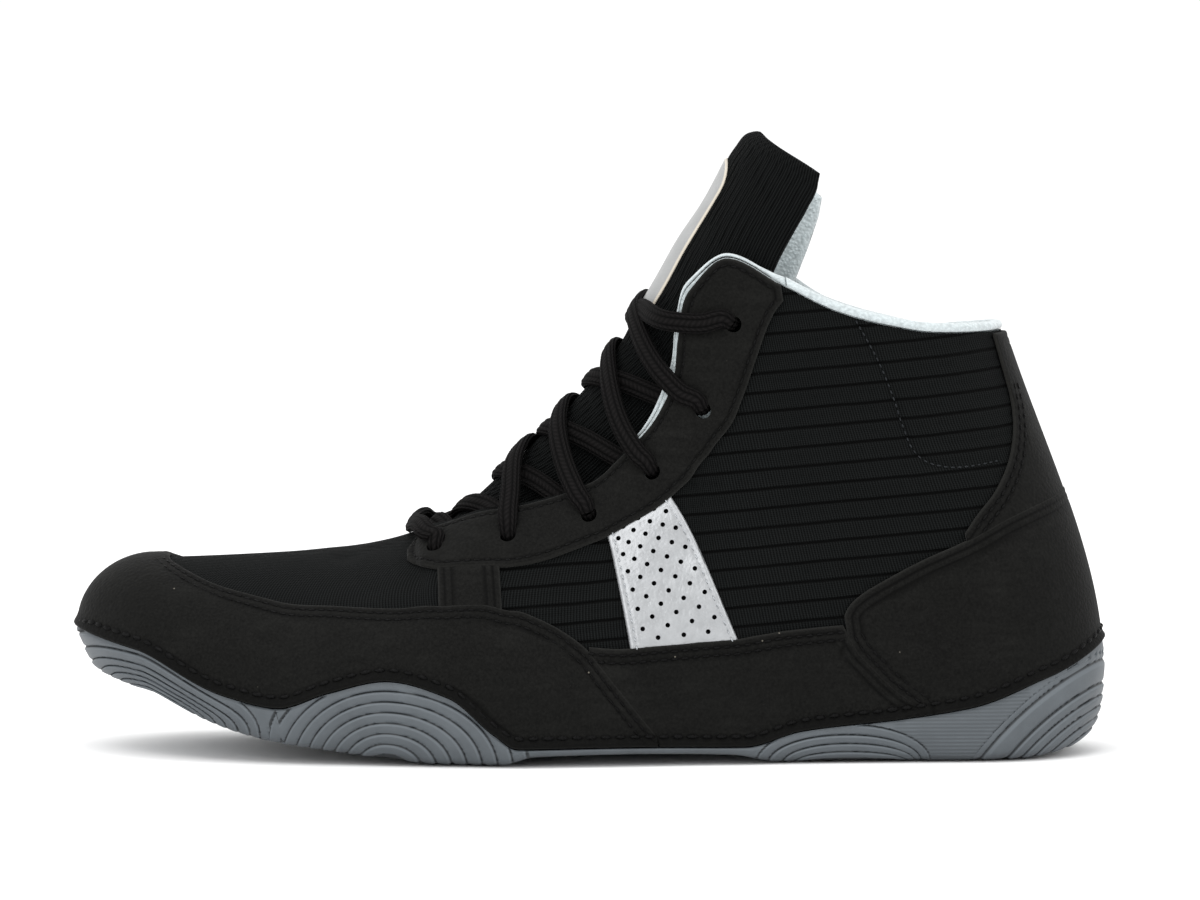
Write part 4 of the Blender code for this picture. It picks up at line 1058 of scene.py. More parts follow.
def stitch_tree():
    """Stitches of a set length and gap along a path, lying flat on its up direction."""
    sizes = dict.fromkeys(("Stitch length", "Stitch width", "Stitch height", "Gap"), "Float")
    tree, get, result = add_tree("Stitches", {**sizes, "Seed": "Int", "Thread": "Material"})
    pitch = node(tree, "Math", {0: get["Stitch length"], 1: get["Gap"]}, operation="ADD")
    curve = node(tree, "GeometryNodeMeshToCurve", {"Mesh": get["Geometry"]})
    places = node(tree, "GeometryNodeResampleCurve", {"Curve": curve, "Length": pitch}, mode="LENGTH")
    up = node(tree, "GeometryNodeInputNamedAttribute", {"Name": "up"}, data_type="FLOAT_VECTOR")
    tangent = node(tree, "GeometryNodeInputTangent")
    along = node(tree, "FunctionNodeAlignRotationToVector", {"Vector": tangent}, axis="X")
    rotation = node(tree, "FunctionNodeAlignRotationToVector", {"Rotation": along, "Vector": up},
                    axis="Z", pivot_axis="X")
    ball = node(tree, "GeometryNodeMeshUVSphere", {"Segments": 7, "Rings": 5, "Radius": 0.5})
    size = node(tree, "CombineXYZ", {axis: get["Stitch " + word] for axis, word in STITCH_AXES})
    stitch = node(tree, "GeometryNodeTransform", {"Geometry": ball, "Scale": size})
    spread = node(tree, "FunctionNodeRandomValue",
                  {0: (0.86, 0.85, 0.8), 1: (1.08, 1.12, 1.1), "Seed": get["Seed"]}, data_type="FLOAT_VECTOR")
    placed = node(tree, "GeometryNodeInstanceOnPoints",
                  {"Points": places, "Instance": stitch, "Rotation": rotation, "Scale": spread})
    real = node(tree, "GeometryNodeRealizeInstances", {"Geometry": placed})
    dressed = node(tree, "GeometryNodeSetMaterial", {"Geometry": real, "Material": get["Thread"]})
    tree.links.new(node(tree, "GeometryNodeSetShadeSmooth", {"Geometry": dressed}), result)
    return tree


def punch_tree():
    """Round holes cut through a sheet at another object's points, along their up direction."""
    inputs = {"Holes": "Object", "Radius": "Float", "Depth": "Float", "Sides": "Int", "Inside": "Material"}
    tree, get, result = add_tree("Punch", inputs)
    places = node(tree, "GeometryNodeObjectInfo", {"Object": get["Holes"]}, "Geometry")
    up = node(tree, "GeometryNodeInputNamedAttribute", {"Name": "up"}, data_type="FLOAT_VECTOR")
    rotation = node(tree, "FunctionNodeAlignRotationToVector", {"Vector": up}, axis="Z")
    tool = node(tree, "GeometryNodeMeshCylinder",
                {"Vertices": get["Sides"], "Radius": get["Radius"], "Depth": get["Depth"]})
    tools = node(tree, "GeometryNodeInstanceOnPoints",
                 {"Points": places, "Instance": tool, "Rotation": rotation})
    real = node(tree, "GeometryNodeRealizeInstances", {"Geometry": tools})
    dressed = node(tree, "GeometryNodeSetMaterial", {"Geometry": real, "Material": get["Inside"]})
    cut = node(tree, "GeometryNodeMeshBoolean", {"Mesh 1": get["Geometry"], "Mesh 2": dressed},
               operation="DIFFERENCE", solver="EXACT")
    tree.links.new(cut, result)
    return tree


def run_tree(item, tree, values):
    """Put the tree on the object with its inputs set, and keep the result as a plain mesh."""
    modifier = item.modifiers.new(tree.name, "NODES")
    modifier.node_group = tree
    for socket in tree.interface.items_tree:
        if socket.in_out == "INPUT" and socket.name in values:
            modifier[socket.identifier] = values[socket.name]
    bpy.context.view_layer.update()
    graph = bpy.context.evaluated_depsgraph_get()
    mesh = bpy.data.meshes.new_from_object(item.evaluated_get(graph))
    item.modifiers.remove(modifier)
    item.data = mesh


def point_object(name, points, ups, edges=()):
    """Bare points, or paths of them, that carry an up direction."""
    mesh = bpy.data.meshes.new(name)
    mesh.from_pydata(np.asarray(points).tolist(), edges, [])
    attribute = mesh.attributes.new("up", "FLOAT_VECTOR", "POINT")
    attribute.data.foreach_set("vector", np.asarray(ups, float).ravel())
    return link_object(name, mesh)


def punch(item, centres, normals, radius, depth, sides):
    """Cut round holes through a piece, with walls of its own first material."""
    holes = point_object("hole_places", centres, normals)
    values = {"Holes": holes, "Radius": radius, "Depth": depth, "Sides": sides}
    run_tree(item, punch_tree(), {**values, "Inside": item.data.materials[0]})
    bpy.data.objects.remove(holes, do_unlink=True)
    item.data.shade_smooth()
    item.data.set_sharp_from_angle(angle=math.radians(50))


# Stitch lines: the edge they follow, from and to which share of the length, which way they are set in (up
# or down the wall), and how far.
STITCH_LINES = (
    (rand_top, 0.0885, 0.563, -1, STITCH_INSETS), (side_panel_top, 0.507, 0.754, -1, STITCH_INSETS),
    (counter_front, 0.761, 0.821, 1, STITCH_INSETS), (counter_top, 0.761, 1.0, -1, STITCH_INSETS),
    (strip_front, 0.899, 0.9795, -1, STITCH_INSETS), (eyestay_inner, 0.326, 0.750, -1, STITCH_INSETS[:1]),
    (eyestay_outer, 0.326, 0.750, 1, STITCH_INSETS[:1]),
)
STITCH_AXES = (("X", "length"), ("Y", "width"), ("Z", "height"))
STITCH_SEED = 7


def inset_line(side, edge, start, end, way, inset):
    """Places on the wall a set distance from an edge, as angles and rises."""
    angles = np.linspace(float(angle_at(start)), float(angle_at(end)), 240)
    rises = edge(angles)
    small = 1e-3
    here = wall_point(side, angles, rises)
    tangent = np.gradient(here, axis=0)
    tangent /= np.linalg.norm(tangent, axis=1, keepdims=True)
    upwards = np.cross(wall_normal(side, angles, rises), tangent) * -side
    along = (wall_point(side, angles + small, rises) - wall_point(side, angles - small, rises)) / (2 * small)
    rise = (wall_point(side, angles, rises + small) - wall_point(side, angles, rises - small)) / (2 * small)
    move = upwards * way * inset
    aa, ar, rr = (np.sum(u * v, axis=1) for u, v in ((along, along), (along, rise), (rise, rise)))
    ma, mr = np.sum(move * along, axis=1), np.sum(move * rise, axis=1)
    scale = aa * rr - ar * ar
    return angles + (ma * rr - mr * ar) / scale, rises + (mr * aa - ma * ar) / scale


class Paths:
    """Stitch paths gathered in one mesh."""

    def __init__(self):
        self.points, self.ups, self.edges = [], [], []

    def add(self, side, angles, rises, offset):
        """A path along places on the wall, moved out by offset."""
        first = len(self.points)
        self.points.extend(skin(side, angles, rises, offset).tolist())
        self.ups.extend(wall_normal(side, angles, rises).tolist())
        self.edges.extend((first + i, first + i + 1) for i in range(len(angles) - 1))

    def sew(self, name, material, slot, length, width, height, gap):
        item = point_object(name, self.points, self.ups, self.edges)
        values = {"Stitch length": length, "Stitch width": width, "Stitch height": height, "Gap": gap}
        run_tree(item, stitch_tree(), {**values, "Seed": STITCH_SEED, "Thread": material})
        seat(item, slot)


def make_stitches(materials, sizes):
    """Lockstitch rows on the nubuck, the heavy sole stitch, the quilting and the saddle's seams."""
    long, wide, gap = sizes.stitch_length, sizes.stitch_width, sizes.stitch_gap
    top = GAP + OVERLAY_WALL - CHANNEL_DEPTH * 0.4
    rows, quilting, heavy, seams = (Paths() for _ in range(4))
    up = np.linspace(0, 1, 60)
    for side in BOTH:
        for edge, start, end, way, insets in STITCH_LINES:
            for inset in insets:
                rows.add(side, *inset_line(side, edge, start, end, way, inset), top)
        quilt = np.array(QUILT_LINE)
        places = np.stack([angle_at(quilt[:, 0]), quilt[:, 1]], axis=1)
        quilting.add(side, *through(places, 120, wall_line(side, QUILT_LINE)).T, QUILT_STITCH_LIFT)
        angles = np.linspace(0.001, math.pi, 700)
        height = wall_point(side, angles, 0.2)[:, 2] - wall_point(side, angles, 0.0)[:, 2]
        heavy.add(side, angles, 0.2 * LIP_STITCH_INSET / np.maximum(height, 0.004), top + 0.0001)
        for along, way in ((0.0, 1), (1.0, -1)):
            base = wall_point(side, *saddle_place(0 * up + along, up))
            shifted = wall_point(side, *saddle_place(0 * up + along + way * 0.02, up))
            unit = np.linalg.norm(shifted - base, axis=1)
            place = saddle_place(along + way * 0.02 * SADDLE_STITCH_INSET / unit, up)
            seams.add(side, *place, GAP + SADDLE_WALL - 0.00005)
    rows.sew("stitch_rows", materials["thread"], "nubuck", long, wide, wide * 0.75, gap)
    quilting.sew("quilt_rows", materials["quilt_thread"], "knit", long * 0.6, wide * 0.8, wide * 0.6, gap)
    heavy.sew("sole_stitch", materials["thread"], "nubuck", sizes.sole_stitch, wide * 2, wide * 1.8, gap)
    seams.sew("saddle_seams", materials["seam_thread"], "silver", long * 0.8, wide * 0.7, wide * 0.6, gap)


# The sole

# Rows of the sole's side: share of its height, then how far it is set in at the toe and at the heel.
SIDE = (
    (0.00, 0.0120, 0.0085), (0.04, 0.0080, 0.0046), (0.19, 0.0044, 0.0012), (0.45, 0.0024, -0.0004),
    (0.73, 0.0009, -0.0008), (0.94, 0.0000, -0.0002), (1.00, 0.0004, 0.0002),
)
# Moulded rings round each pod, outermost first: reach towards the toe, towards the heel, and height,
# in millimetres. The toe pod's heights are shares of the side wall's own height.
TOE_POD = (-0.1185, 0.0)
TOE_RINGS = (
    (27.0, 28.0, 1.30), (24.2, 25.2, 0.92), (20.8, 21.8, 0.69), (17.6, 18.6, 0.55), (14.6, 15.6, 0.43),
    (11.8, 12.8, 0.32), (9.2, 10.2, 0.21), (6.4, 7.4, 0.11),
)
BALL_POD = (-0.0557, -0.0004)
BALL_FIRST_RING = 3.9
BALL_RING_PITCH = 2.95
BALL_RINGS = tuple(
    (1.19 * radius, 1.43 * radius, radius)
    for radius in (BALL_FIRST_RING + BALL_RING_PITCH * k for k in range(8, -1, -1))
)
SEAT_POD = (0.0707, 0.0)
SEAT_RINGS = (
    (24.8, 23.3, 11.0), (21.5, 20.8, 8.1), (17.4, 19.1, 5.7), (14.1, 16.9, 3.4), (11.1, 15.0, 1.4),
)
HEEL_POD = (0.1417, -0.008)
HEEL_RINGS = tuple(
    (1.12 * radius, 1.12 * radius, radius)
    for radius in (36.3, 34.3, 27.5, 24.2, 21.2, 18.2, 15.6, 13.2, 11.0, 9.0)
)
POD_POWER = {"toe": 3.0, "ball": 2.0, "seat": 2.1, "heel": 1.4}
# Where the toe pod's rings give way to the ball pod's
POD_GAP = -0.0880
RIBBED_FROM, RIBBED_TO = 0.0835, 0.1215
GROOVE_DEPTH = 0.0007
GROOVE_HALF = 0.11
BAND_FALL = 0.0004
TREAD_LEAN = 0.62


def nest(rings, power, dx, dz, unit=1.0):
    """How many rings a place lies inside of, with its share of the way to the next one."""
    rows = np.array(rings) * 0.001
    inside = []
    for toe, heel, height in rows:
        reach = np.where(dx < 0, toe, heel)
        tall = height * unit
        spread = (np.abs(dx) / reach) ** power + (np.clip(dz, 0, None) / tall) ** power
        inside.append(spread ** (1 / power))
    inside = np.array(inside)
    count = np.clip((1 - inside[0]) * 5, -1, 0)
    for outer, inner in zip(inside, inside[1:]):
        step = (1 - outer) / np.maximum((1 - outer) + (inner - 1), 1e-9)
        count = np.where(outer < 1, np.maximum(count, 0) + np.clip(step, 0, 1), count)
    return count


def ring_count(x, height, tall, inset):
    """The pods' ring field on the sole: a whole number on each moulded line."""
    dz = inset * TREAD_LEAN
    toe = nest(TOE_RINGS, POD_POWER["toe"], x - TOE_POD[0], height + dz, np.maximum(tall, 0.002) * 1000)
    ball = nest(BALL_RINGS, POD_POWER["ball"], x - BALL_POD[0], height + dz - BALL_POD[1])
    seat = nest(SEAT_RINGS, POD_POWER["seat"], x - SEAT_POD[0], height + dz - SEAT_POD[1])
    heel = nest(HEEL_RINGS, POD_POWER["heel"], x - HEEL_POD[0], height + dz - HEEL_POD[1])
    front = np.where(x < POD_GAP, toe, ball)
    rear = np.where(heel > 0, heel, seat)
    return np.where(x < 0.02, front, rear)


def make_outsole(materials):
    """The rubber cup: its true outline and toe spring, with the pods' rings moulded in."""
    angles = np.unique(np.concatenate([np.linspace(0, math.pi, 620), [float(angle_at(0.418))]]))
    share = share_at(angles)
    under, floor, rim = (CUP_HEIGHT * f(angles) for f in (under_share, floor_share, rim_share))
    height, toe, heel = np.array(SIDE).T
    levels = np.concatenate([np.linspace(0, 0.06, 6), np.linspace(0.08, 1.0, 44)])
    toe_set, heel_set = hermite(height, toe)(levels), hermite(height, heel)(levels)
    set_in = toe_set[:, None] + (heel_set - toe_set)[:, None] * share
    tall = rim - under
    shell = Shell("ring", "ribbed")
    edges = [sole_point(side, angles, SIDE[0][1] + (SIDE[0][2] - SIDE[0][1]) * share, under) for side in BOTH]
    middle = (edges[0] + edges[1]) / 2
    inner_depth = RIM_WIDTH + RIM_SLOPE
    inner_floor = [sole_point(side, angles, inner_depth, floor) for side in BOTH]
    inner_middle = (inner_floor[0] + inner_floor[1]) / 2
    for side, edge, well in zip(BOTH, edges, inner_floor):
        reach = np.linspace(0, 1, 22)[:, None, None]
        bottom = middle[None] + (edge - middle)[None] * reach
        wall = sole_point(side, angles[None], set_in, under + tall * levels[:, None])
        height = wall[..., 2] - under
        inset = np.linalg.norm(bottom - edge[None], axis=-1)
        count = np.concatenate([
            ring_count(bottom[:-1, :, 0], under + 0 * inset[:-1], tall, inset[:-1]),
            ring_count(wall[..., 0], np.where(share < 0.2, height, wall[..., 2]), tall, 0.0),
        ])
        surface = np.concatenate([bottom[:-1], wall])
        nx, ny = outward(side, angles)
        out = np.stack([nx, ny, 0 * nx], axis=-1)
        down = np.array([0.0, 0.0, -1.0])
        turn = np.concatenate([np.zeros(21), rounded(levels, 0.12)])[:, None, None]
        way = out[None] * turn + down * (1 - turn)
        way /= np.linalg.norm(way, axis=-1, keepdims=True)
        part = np.mod(count, 1.0)
        line = np.exp(-((np.minimum(part, 1 - part) / GROOVE_HALF) ** 2)) * (count > 0)
        fade = np.concatenate([np.ones(21), rounded(1 - levels, 0.05)])[:, None]
        rows_x = surface[..., 0]
        ribbed = (
            rounded(np.clip(rows_x - RIBBED_FROM, 0, None), 0.002)
            * rounded(np.clip(RIBBED_TO - rows_x, 0, None), 0.002)
            * (count <= 0)
        )
        sink = (GROOVE_DEPTH * line + BAND_FALL * part * (count > 0)) * fade
        surface = surface - way * sink[..., None]
        ring = np.where(fade < 0.3, np.floor(count) + 0.5, count)
        grid = shell.add(surface, ring=ring, ribbed=ribbed)
        shell.cover(grid)
        lip = sole_point(side, angles, 0.0012, rim)
        inside = sole_point(side, angles, RIM_WIDTH, rim)
        top = shell.add(np.stack([surface[-1], lip, inside, well, inner_middle]))
        shell.cover(top)
    item = shell.finish("sole_rubber", [materials["rubber"]])
    seat(item, "outsole", "outsole")


def make_insole(materials):
    """The insole board's cloth, resting in the cup with a rounded edge."""
    angles = np.linspace(0, math.pi, 160)
    floor = CUP_HEIGHT * floor_share(angles) + GAP
    set_in = RIM_WIDTH + 0.0011
    ends = [sole_point(side, angles, set_in, floor) for side in BOTH]
    middle = (ends[0] + ends[1]) / 2
    shell = Shell()
    for side, edge in zip(BOTH, ends):
        rows = [middle, edge]
        for turn in np.linspace(0, math.pi / 2, 5)[1:]:
            rise = np.array([0, 0, INSOLE_WALL * math.sin(turn)])
            inward = (1 - math.cos(turn)) * INSOLE_WALL * 0.8
            rows.append(sole_point(side, angles, set_in + inward, floor) + rise)
        top = rows[-1]
        for reach in np.linspace(0, 1, 14)[1:]:
            rows.append(top + (middle + np.array([0, 0, INSOLE_WALL]) - top) * reach)
        shell.cover(shell.add(np.stack(rows)))
    item = shell.finish("insole_cloth", [materials["insole"]])
    seat(item, "insole_cloth", "insole")


# The upper


def eyelet_points(side):
    """The eyelets' centres on the wall and the wall's normals there."""
    rows = np.array(EYELETS)
    angles = angle_at(rows[:, 0])
    return skin(side, angles, rows[:, 1], 0.0), wall_normal(side, angles, rows[:, 1])


def make_upper(materials, sizes):
    """The knitted bootee: one hollow wall, knit outside and terry inside, open at throat and collar."""
    front = np.linspace(0, float(angle_at(THROAT_START)), 120)
    back = np.linspace(float(angle_at(THROAT_START)), math.pi, 270)
    angles = np.concatenate([front[:-1], back])
    closed = angles[1:] <= angle_at(THROAT_START) + 1e-9
    rises = np.linspace(0, 1, 100)[:, None]
    shell = Shell("groove")
    for side in BOTH:
        base = wall_point(side, angles[None], rises)
        to_heel = run_lengths(base[:, ::-1], 1)[:, ::-1]
        level = base[..., 2] - base[..., 0] * GROOVE_SLOPE
        uv = np.stack([side * to_heel, level], axis=-1) * 1000
        grooved = rounded(np.clip(share_at(angles) - 0.36, 0, None), 0.03)[None] + 0 * rises
        swell = np.abs(np.mod(uv[..., 1] / GROOVE_PITCH_MM, 1.0) - 0.5) * 2
        dent = -sizes.groove_depth * np.clip((swell - 0.6) / 0.4, 0, 1) ** 2 * grooved
        outer = shell.add(skin(side, angles[None], rises, dent), uv, groove=grooved)
        inner = shell.add(skin(side, angles[None], rises, -UPPER_WALL), uv)
        behind = share_at(angles[1:])
        lined = (behind > 0.6).astype(int)
        bound = (behind > 0.575) & (behind < 0.755) & (rises[1:] > eyestay_inner(angles[1:]) - 0.012)
        shell.plate(outer, inner, ("low", "high"), closed, (bound.astype(int), lined, lined))
    item = shell.finish("upper_knit", [materials["knit"], materials["lining"]])
    centres, normals = zip(*(eyelet_points(side) for side in BOTH))
    punch(item, np.concatenate(centres), np.concatenate(normals), sizes.eyelet_radius, EYELET_DEPTH, 16)
    seat(item, "knit", "upper")


def nubuck_sheet(materials, name, sides, *panel, **more):
    """One nubuck piece over one or both sides of the wall."""
    shell = Shell("edge", "row")
    for side in sides:
        add_panel(shell, side, *panel, **more)
    return shell.finish(name, [materials["nubuck"]])


def make_toe_rand(materials):
    """The nubuck toe cap and its sides, up to the vamp and back to the arch."""
    first = spaced_angles(LATERAL, 0.0, TOE_CAP_END, 0.0012, 0.5)
    second = spaced_angles(LATERAL, 0.0866, 0.566, 0.0014, 0.2, fine_end=True,
                           extra=(0.0866, 0.0868, 0.0870, 0.0873, 0.0877, 0.0884))
    angles = np.concatenate([first, second])
    cap = angles <= angle_at(TOE_CAP_END) + 1e-9
    high = np.where(cap, 1.0, edge_line(TOE_CAP_REAR + TOE_RAND_TOP)(angles))
    item = nubuck_sheet(materials, "toe_cap_nubuck", BOTH, angles, 0.0, high, OVERLAY_WALL, ("high",),
                        ("low", "high", "end"), cap[1:], lip=True, middle=16)
    seat(item, "nubuck", "toe_rand")


def make_heel_counter(materials):
    """The nubuck heel counter, wrapped round the back."""
    angles = spaced_angles(LATERAL, 0.7595, 1.0, 0.0013, 0.2, fine_start=True,
                           extra=(0.764, 0.779, 0.796, 0.818, 0.824))
    low = np.where(share_at(angles) < 0.8235, counter_front(angles), 0.0)
    item = nubuck_sheet(materials, "heel_counter_nubuck", BOTH, angles, low, counter_top(angles),
                        OVERLAY_WALL, ("high", "low", "start"), ("low", "high", "start"), lip=True, middle=16)
    seat(item, "nubuck", "heel_counter")


def make_heel_strip(materials):
    """The nubuck strip up the back of the ankle to the collar."""
    angles = spaced_angles(LATERAL, 0.889, 1.0, 0.0009, 0.6, extra=(0.965, 0.974, 0.979, 0.9805, 0.982))
    low = counter_top(angles) - PANEL_TUCK
    high = np.where(share_at(angles) < 0.9805, strip_front(angles), 0.992)
    high = np.maximum(high, low + LEAST_RISE)
    item = nubuck_sheet(materials, "heel_strip_nubuck", BOTH, angles, low, high, OVERLAY_WALL - UNDERLAP,
                        ("high",), ("low", "high", "start"), middle=18)
    seat(item, "nubuck", "heel_strip")


def make_side_panel(materials, side, word):
    """The nubuck band along the quarter, between the toe cap and the heel counter."""
    angles = spaced_angles(side, 0.5045, 0.8275, 0.0014, 0.2,
                           extra=(0.519, 0.535, 0.551, 0.560, 0.566, 0.569, 0.757, 0.7595, 0.764))
    share = share_at(angles)
    low = np.clip(np.where(share < 0.5665, rand_top(angles) - PANEL_TUCK, 0.0), 0, None)
    rear = np.where(share > 0.757, counter_front(angles) + PANEL_TUCK, side_panel_top(angles))
    item = nubuck_sheet(materials, "side_nubuck_" + word, (side,), angles, low,
                        np.maximum(rear, low + LEAST_RISE), OVERLAY_WALL - UNDERLAP, ("high",), ALL_EDGES,
                        lip=True, middle=14)
    seat(item, "nubuck", "side_panel_" + word)


def make_eyestay(materials, sizes, side, word):
    """The nubuck eyestay along the throat, with its punched eyelets."""
    angles = spaced_angles(side, 0.3225, 0.7565, 0.0012, 0.8, fine_start=True, fine_end=True,
                           extra=(0.595, 0.662, 0.686, 0.702, 0.736, 0.750))
    item = nubuck_sheet(materials, "eyestay_nubuck_" + word, (side,), angles, eyestay_outer(angles),
                        eyestay_inner(angles), OVERLAY_WALL, ALL_EDGES, ALL_EDGES, middle=14,
                        channels=STITCH_INSETS[:1])
    punch(item, *eyelet_points(side), sizes.eyelet_radius, EYELET_DEPTH, 20)
    seat(item, "nubuck", "eyestay_" + word)


def make_gusset(materials, side, word):
    """The small nubuck piece that joins eyestay and toe cap at the ball."""
    angles = spaced_angles(side, *GUSSET_SPAN, 0.0012, 0.5, fine_start=True, fine_end=True)
    item = nubuck_sheet(materials, "gusset_nubuck_" + word, (side,), angles, rand_top(angles) - PANEL_TUCK,
                        eyestay_outer(angles) + PANEL_TUCK, OVERLAY_WALL - UNDERLAP, ("start", "end"),
                        ALL_EDGES, middle=10)
    seat(item, "nubuck", "gusset_" + word)


def saddle_place(along, up):
    """Angle and rise on the saddle panel: along 0 to 1 from front to back, up 0 to 1 from foot to top."""
    height, front, back = np.array(SADDLE).T
    front, back = (np.interp(up, height, angle_at(column)) for column in (front, back))
    angle = front + (back - front) * along
    low, high = side_panel_top(angle), eyestay_outer(angle)
    return angle, low + (high - low) * up


def make_saddle(materials, sizes, side, word):
    """The perforated silver saddle on the quarter, tucked under the nubuck above and below."""
    along, up = np.meshgrid(np.linspace(0, 1, 50), np.linspace(-SADDLE_TUCK, 1 + SADDLE_TUCK, 70))
    angle, rise = saddle_place(along, up)
    base = skin(side, angle, rise, 0.0)
    away = np.minimum(line_distance(base, base[:, 0]), line_distance(base, base[:, -1]))
    offset = GAP + SADDLE_WALL * (0.3 + 0.7 * rounded(away, 0.0006))
    offset -= 0.0002 * np.exp(-(((away - SADDLE_STITCH_INSET) / CHANNEL_WIDTH) ** 2))
    offset -= 0.0005 * np.clip(np.abs(up - 0.5) * 50 - 24.5, 0, 1)
    shell = Shell()
    outer = shell.add(skin(side, angle, rise, np.maximum(offset, GAP + 0.0002)))
    inner = shell.add(skin(side, angle, rise, GAP))
    shell.plate(outer, inner, ALL_EDGES)
    item = shell.finish("saddle_silver_" + word, [materials["silver"]])
    # The perforations stand in rows half a pitch apart, every other row moved on by half a pitch
    half = sizes.hole_pitch * 0.5
    width, tall = (float(run_lengths(line, 0)[-1]) for line in (base[35], base[:, 25]))
    margin = SADDLE_STITCH_INSET + 0.0016
    columns, rows = int((width - 2 * margin) / half) + 1, int(tall / half) + 1
    column, row = np.array([(i, j) for i in range(columns) for j in range(rows) if (i + j) % 2 == 0], float).T
    share = ((width - (columns - 1) * half) / 2 + column * half) / width
    height = -SADDLE_TUCK + (row + 0.5) * half / tall * (1 + 2 * SADDLE_TUCK)
    place = saddle_place(share, height)
    punch(item, skin(side, *place, 0.0), wall_normal(side, *place), sizes.hole_radius, PERFORATION_DEPTH, 10)
    seat(item, "silver", "saddle_" + word)


# Trims, tongue and laces


def add_roll(shell, side, angles, width, height, ends):
    """A soft terry roll standing on the upper's top edge."""
    edge = wall_point(side, angles, 1.0)
    normal = wall_normal(side, angles, 1.0)
    up = edge - wall_point(side, angles, 0.985)
    up /= np.linalg.norm(up, axis=-1, keepdims=True)
    middle = edge - normal * (UPPER_WALL / 2) + up * GAP
    turns = np.linspace(-0.22 * math.pi, 1.22 * math.pi, 22)
    tall = (np.zeros(len(angles)) + height)[:, None]
    rows = []
    for turn in [*turns, turns[0]]:
        reach = np.cos(turn) * width / 2
        level = (np.sin(turn) + 0.62) / 1.62 * tall
        rows.append(middle + normal * reach + up * level)
    grid = np.stack(rows)
    length = run_lengths(grid, 1)
    around = run_lengths(grid, 0)
    ids = shell.add(grid, np.stack([length, around], axis=-1) * 1000)
    shell.cover(ids)
    for column, wanted in ((0, ends[0]), (-1, ends[1])):
        if wanted:
            shell.cap(ids[:, column])


def make_collar_binding(materials):
    """The padded terry roll round the collar."""
    shell = Shell()
    angles = spaced_angles(LATERAL, 0.762, 1.0, 0.0011, 1.0)
    for side in BOTH:
        add_roll(shell, side, angles, BINDING_WIDTH, BINDING_HEIGHT, (True, False))
    item = shell.finish("collar_roll_terry", [materials["lining"]])
    seat(item, "lining", "collar_binding")


def make_throat_trim(materials, side, word):
    """The terry edge that shows along the throat beside the upper eyelets."""
    shell = Shell()
    angles = spaced_angles(side, TRIM_RISE[0][0], TRIM_RISE[-1][0], 0.0011, 1.0)
    rows = np.array(TRIM_RISE)
    height = np.interp(share_at(angles), rows[:, 0], rows[:, 1])
    add_roll(shell, side, angles, UPPER_WALL, height, (True, True))
    item = shell.finish("throat_terry_" + word, [materials["lining"]])
    seat(item, "lining", "throat_trim_" + word)


def tongue_shape(along, across, offset):
    """The tongue's surface with its soft folds, moved out by offset."""
    base = tongue_point(along, across)
    fold = np.zeros(base.shape[:-1])
    for at, where, long, wide, deep in TONGUE_FOLDS:
        fold += deep * np.exp(-(((along - at) / long) ** 2) - ((across - where) / wide) ** 2)
    return tongue_skin(along, across, np.asarray(offset, float) + fold)


def make_tongue(materials):
    """The tongue: ribbed knit in front, terry behind, padded between, with its edges rolled."""
    along = np.concatenate([np.linspace(0, 0.94, 150), np.linspace(0.944, 1.0, 26)])
    wing = np.linspace(0.93, 1, 9)
    across = np.concatenate([-wing[::-1], np.linspace(-0.92, 0.92, 150), wing])
    grid_along, grid_across = np.meshgrid(along, across)
    base = tongue_point(grid_along, grid_across)
    girth = run_lengths(base, 0)
    length = run_lengths(base, 1)
    side_away = np.minimum(girth, girth[-1:] - girth)
    top_away = length[:, -1:] - length
    away = np.minimum(side_away, top_away)
    round_off = TONGUE_WALL * 0.5 * (1 - rounded(away, 0.0026))
    rib = np.cos((girth - girth[len(across) // 2:len(across) // 2 + 1]) / TONGUE_RIB_PITCH * 2 * math.pi)
    ribbing = -TONGUE_RIB_DEPTH * np.clip(-rib, 0, 1) ** 3
    uv = np.stack([girth, length], axis=-1) * 1000
    shell = Shell()
    outer = shell.add(tongue_shape(grid_along, grid_across, ribbing - round_off), uv)
    inner = shell.add(tongue_shape(grid_along, grid_across, round_off - TONGUE_WALL), uv)
    shell.plate(outer, inner, ("low", "high", "start"), slots=(0, 1, 1))
    shell.strip(outer[:, -1], inner[:, -1], 0)
    item = shell.finish("tongue_knit", [materials["tongue_knit"], materials["lining"]])
    seat(item, "knit", "tongue")


def make_tongue_label(materials):
    """The smooth grey tape down the front of the tongue."""
    along, across = np.meshgrid(np.linspace(*TAPE_SPAN, 60), np.linspace(-TAPE_HALF, TAPE_HALF, 40))
    across = across * (0.15 + 0.85 * rounded(TAPE_SPAN[1] - along, TAPE_TAPER))
    base = tongue_point(along, across)
    away = np.full(base.shape[:-1], 1.0)
    for line in (base[0], base[-1], base[:, 0], base[:, -1]):
        away = np.minimum(away, line_distance(base, line))
    offset = GAP * 0.4 + TAPE_WALL * (0.3 + 0.7 * rounded(away, TAPE_WALL))
    shell = Shell("edge")
    outer = shell.add(tongue_shape(along, across, offset), edge=np.minimum(away, EDGE_REACH) * 1000)
    inner = shell.add(tongue_shape(along, across, GAP * 0.2))
    shell.plate(outer, inner, ALL_EDGES)
    item = shell.finish("tongue_tape", [materials["label"]])
    seat(item, "label", "tongue_label")


def tongue_spot(point):
    """The place on the tongue's front surface nearest to a point, as along and across."""
    along, across = np.meshgrid(np.linspace(0, 1, 201), np.linspace(-1, 1, 161), indexing="ij")
    away = np.linalg.norm(tongue_point(along, across) - point, axis=-1)
    i, j = np.unravel_index(away.argmin(), away.shape)
    return float(along[i, j]), float(across[i, j])


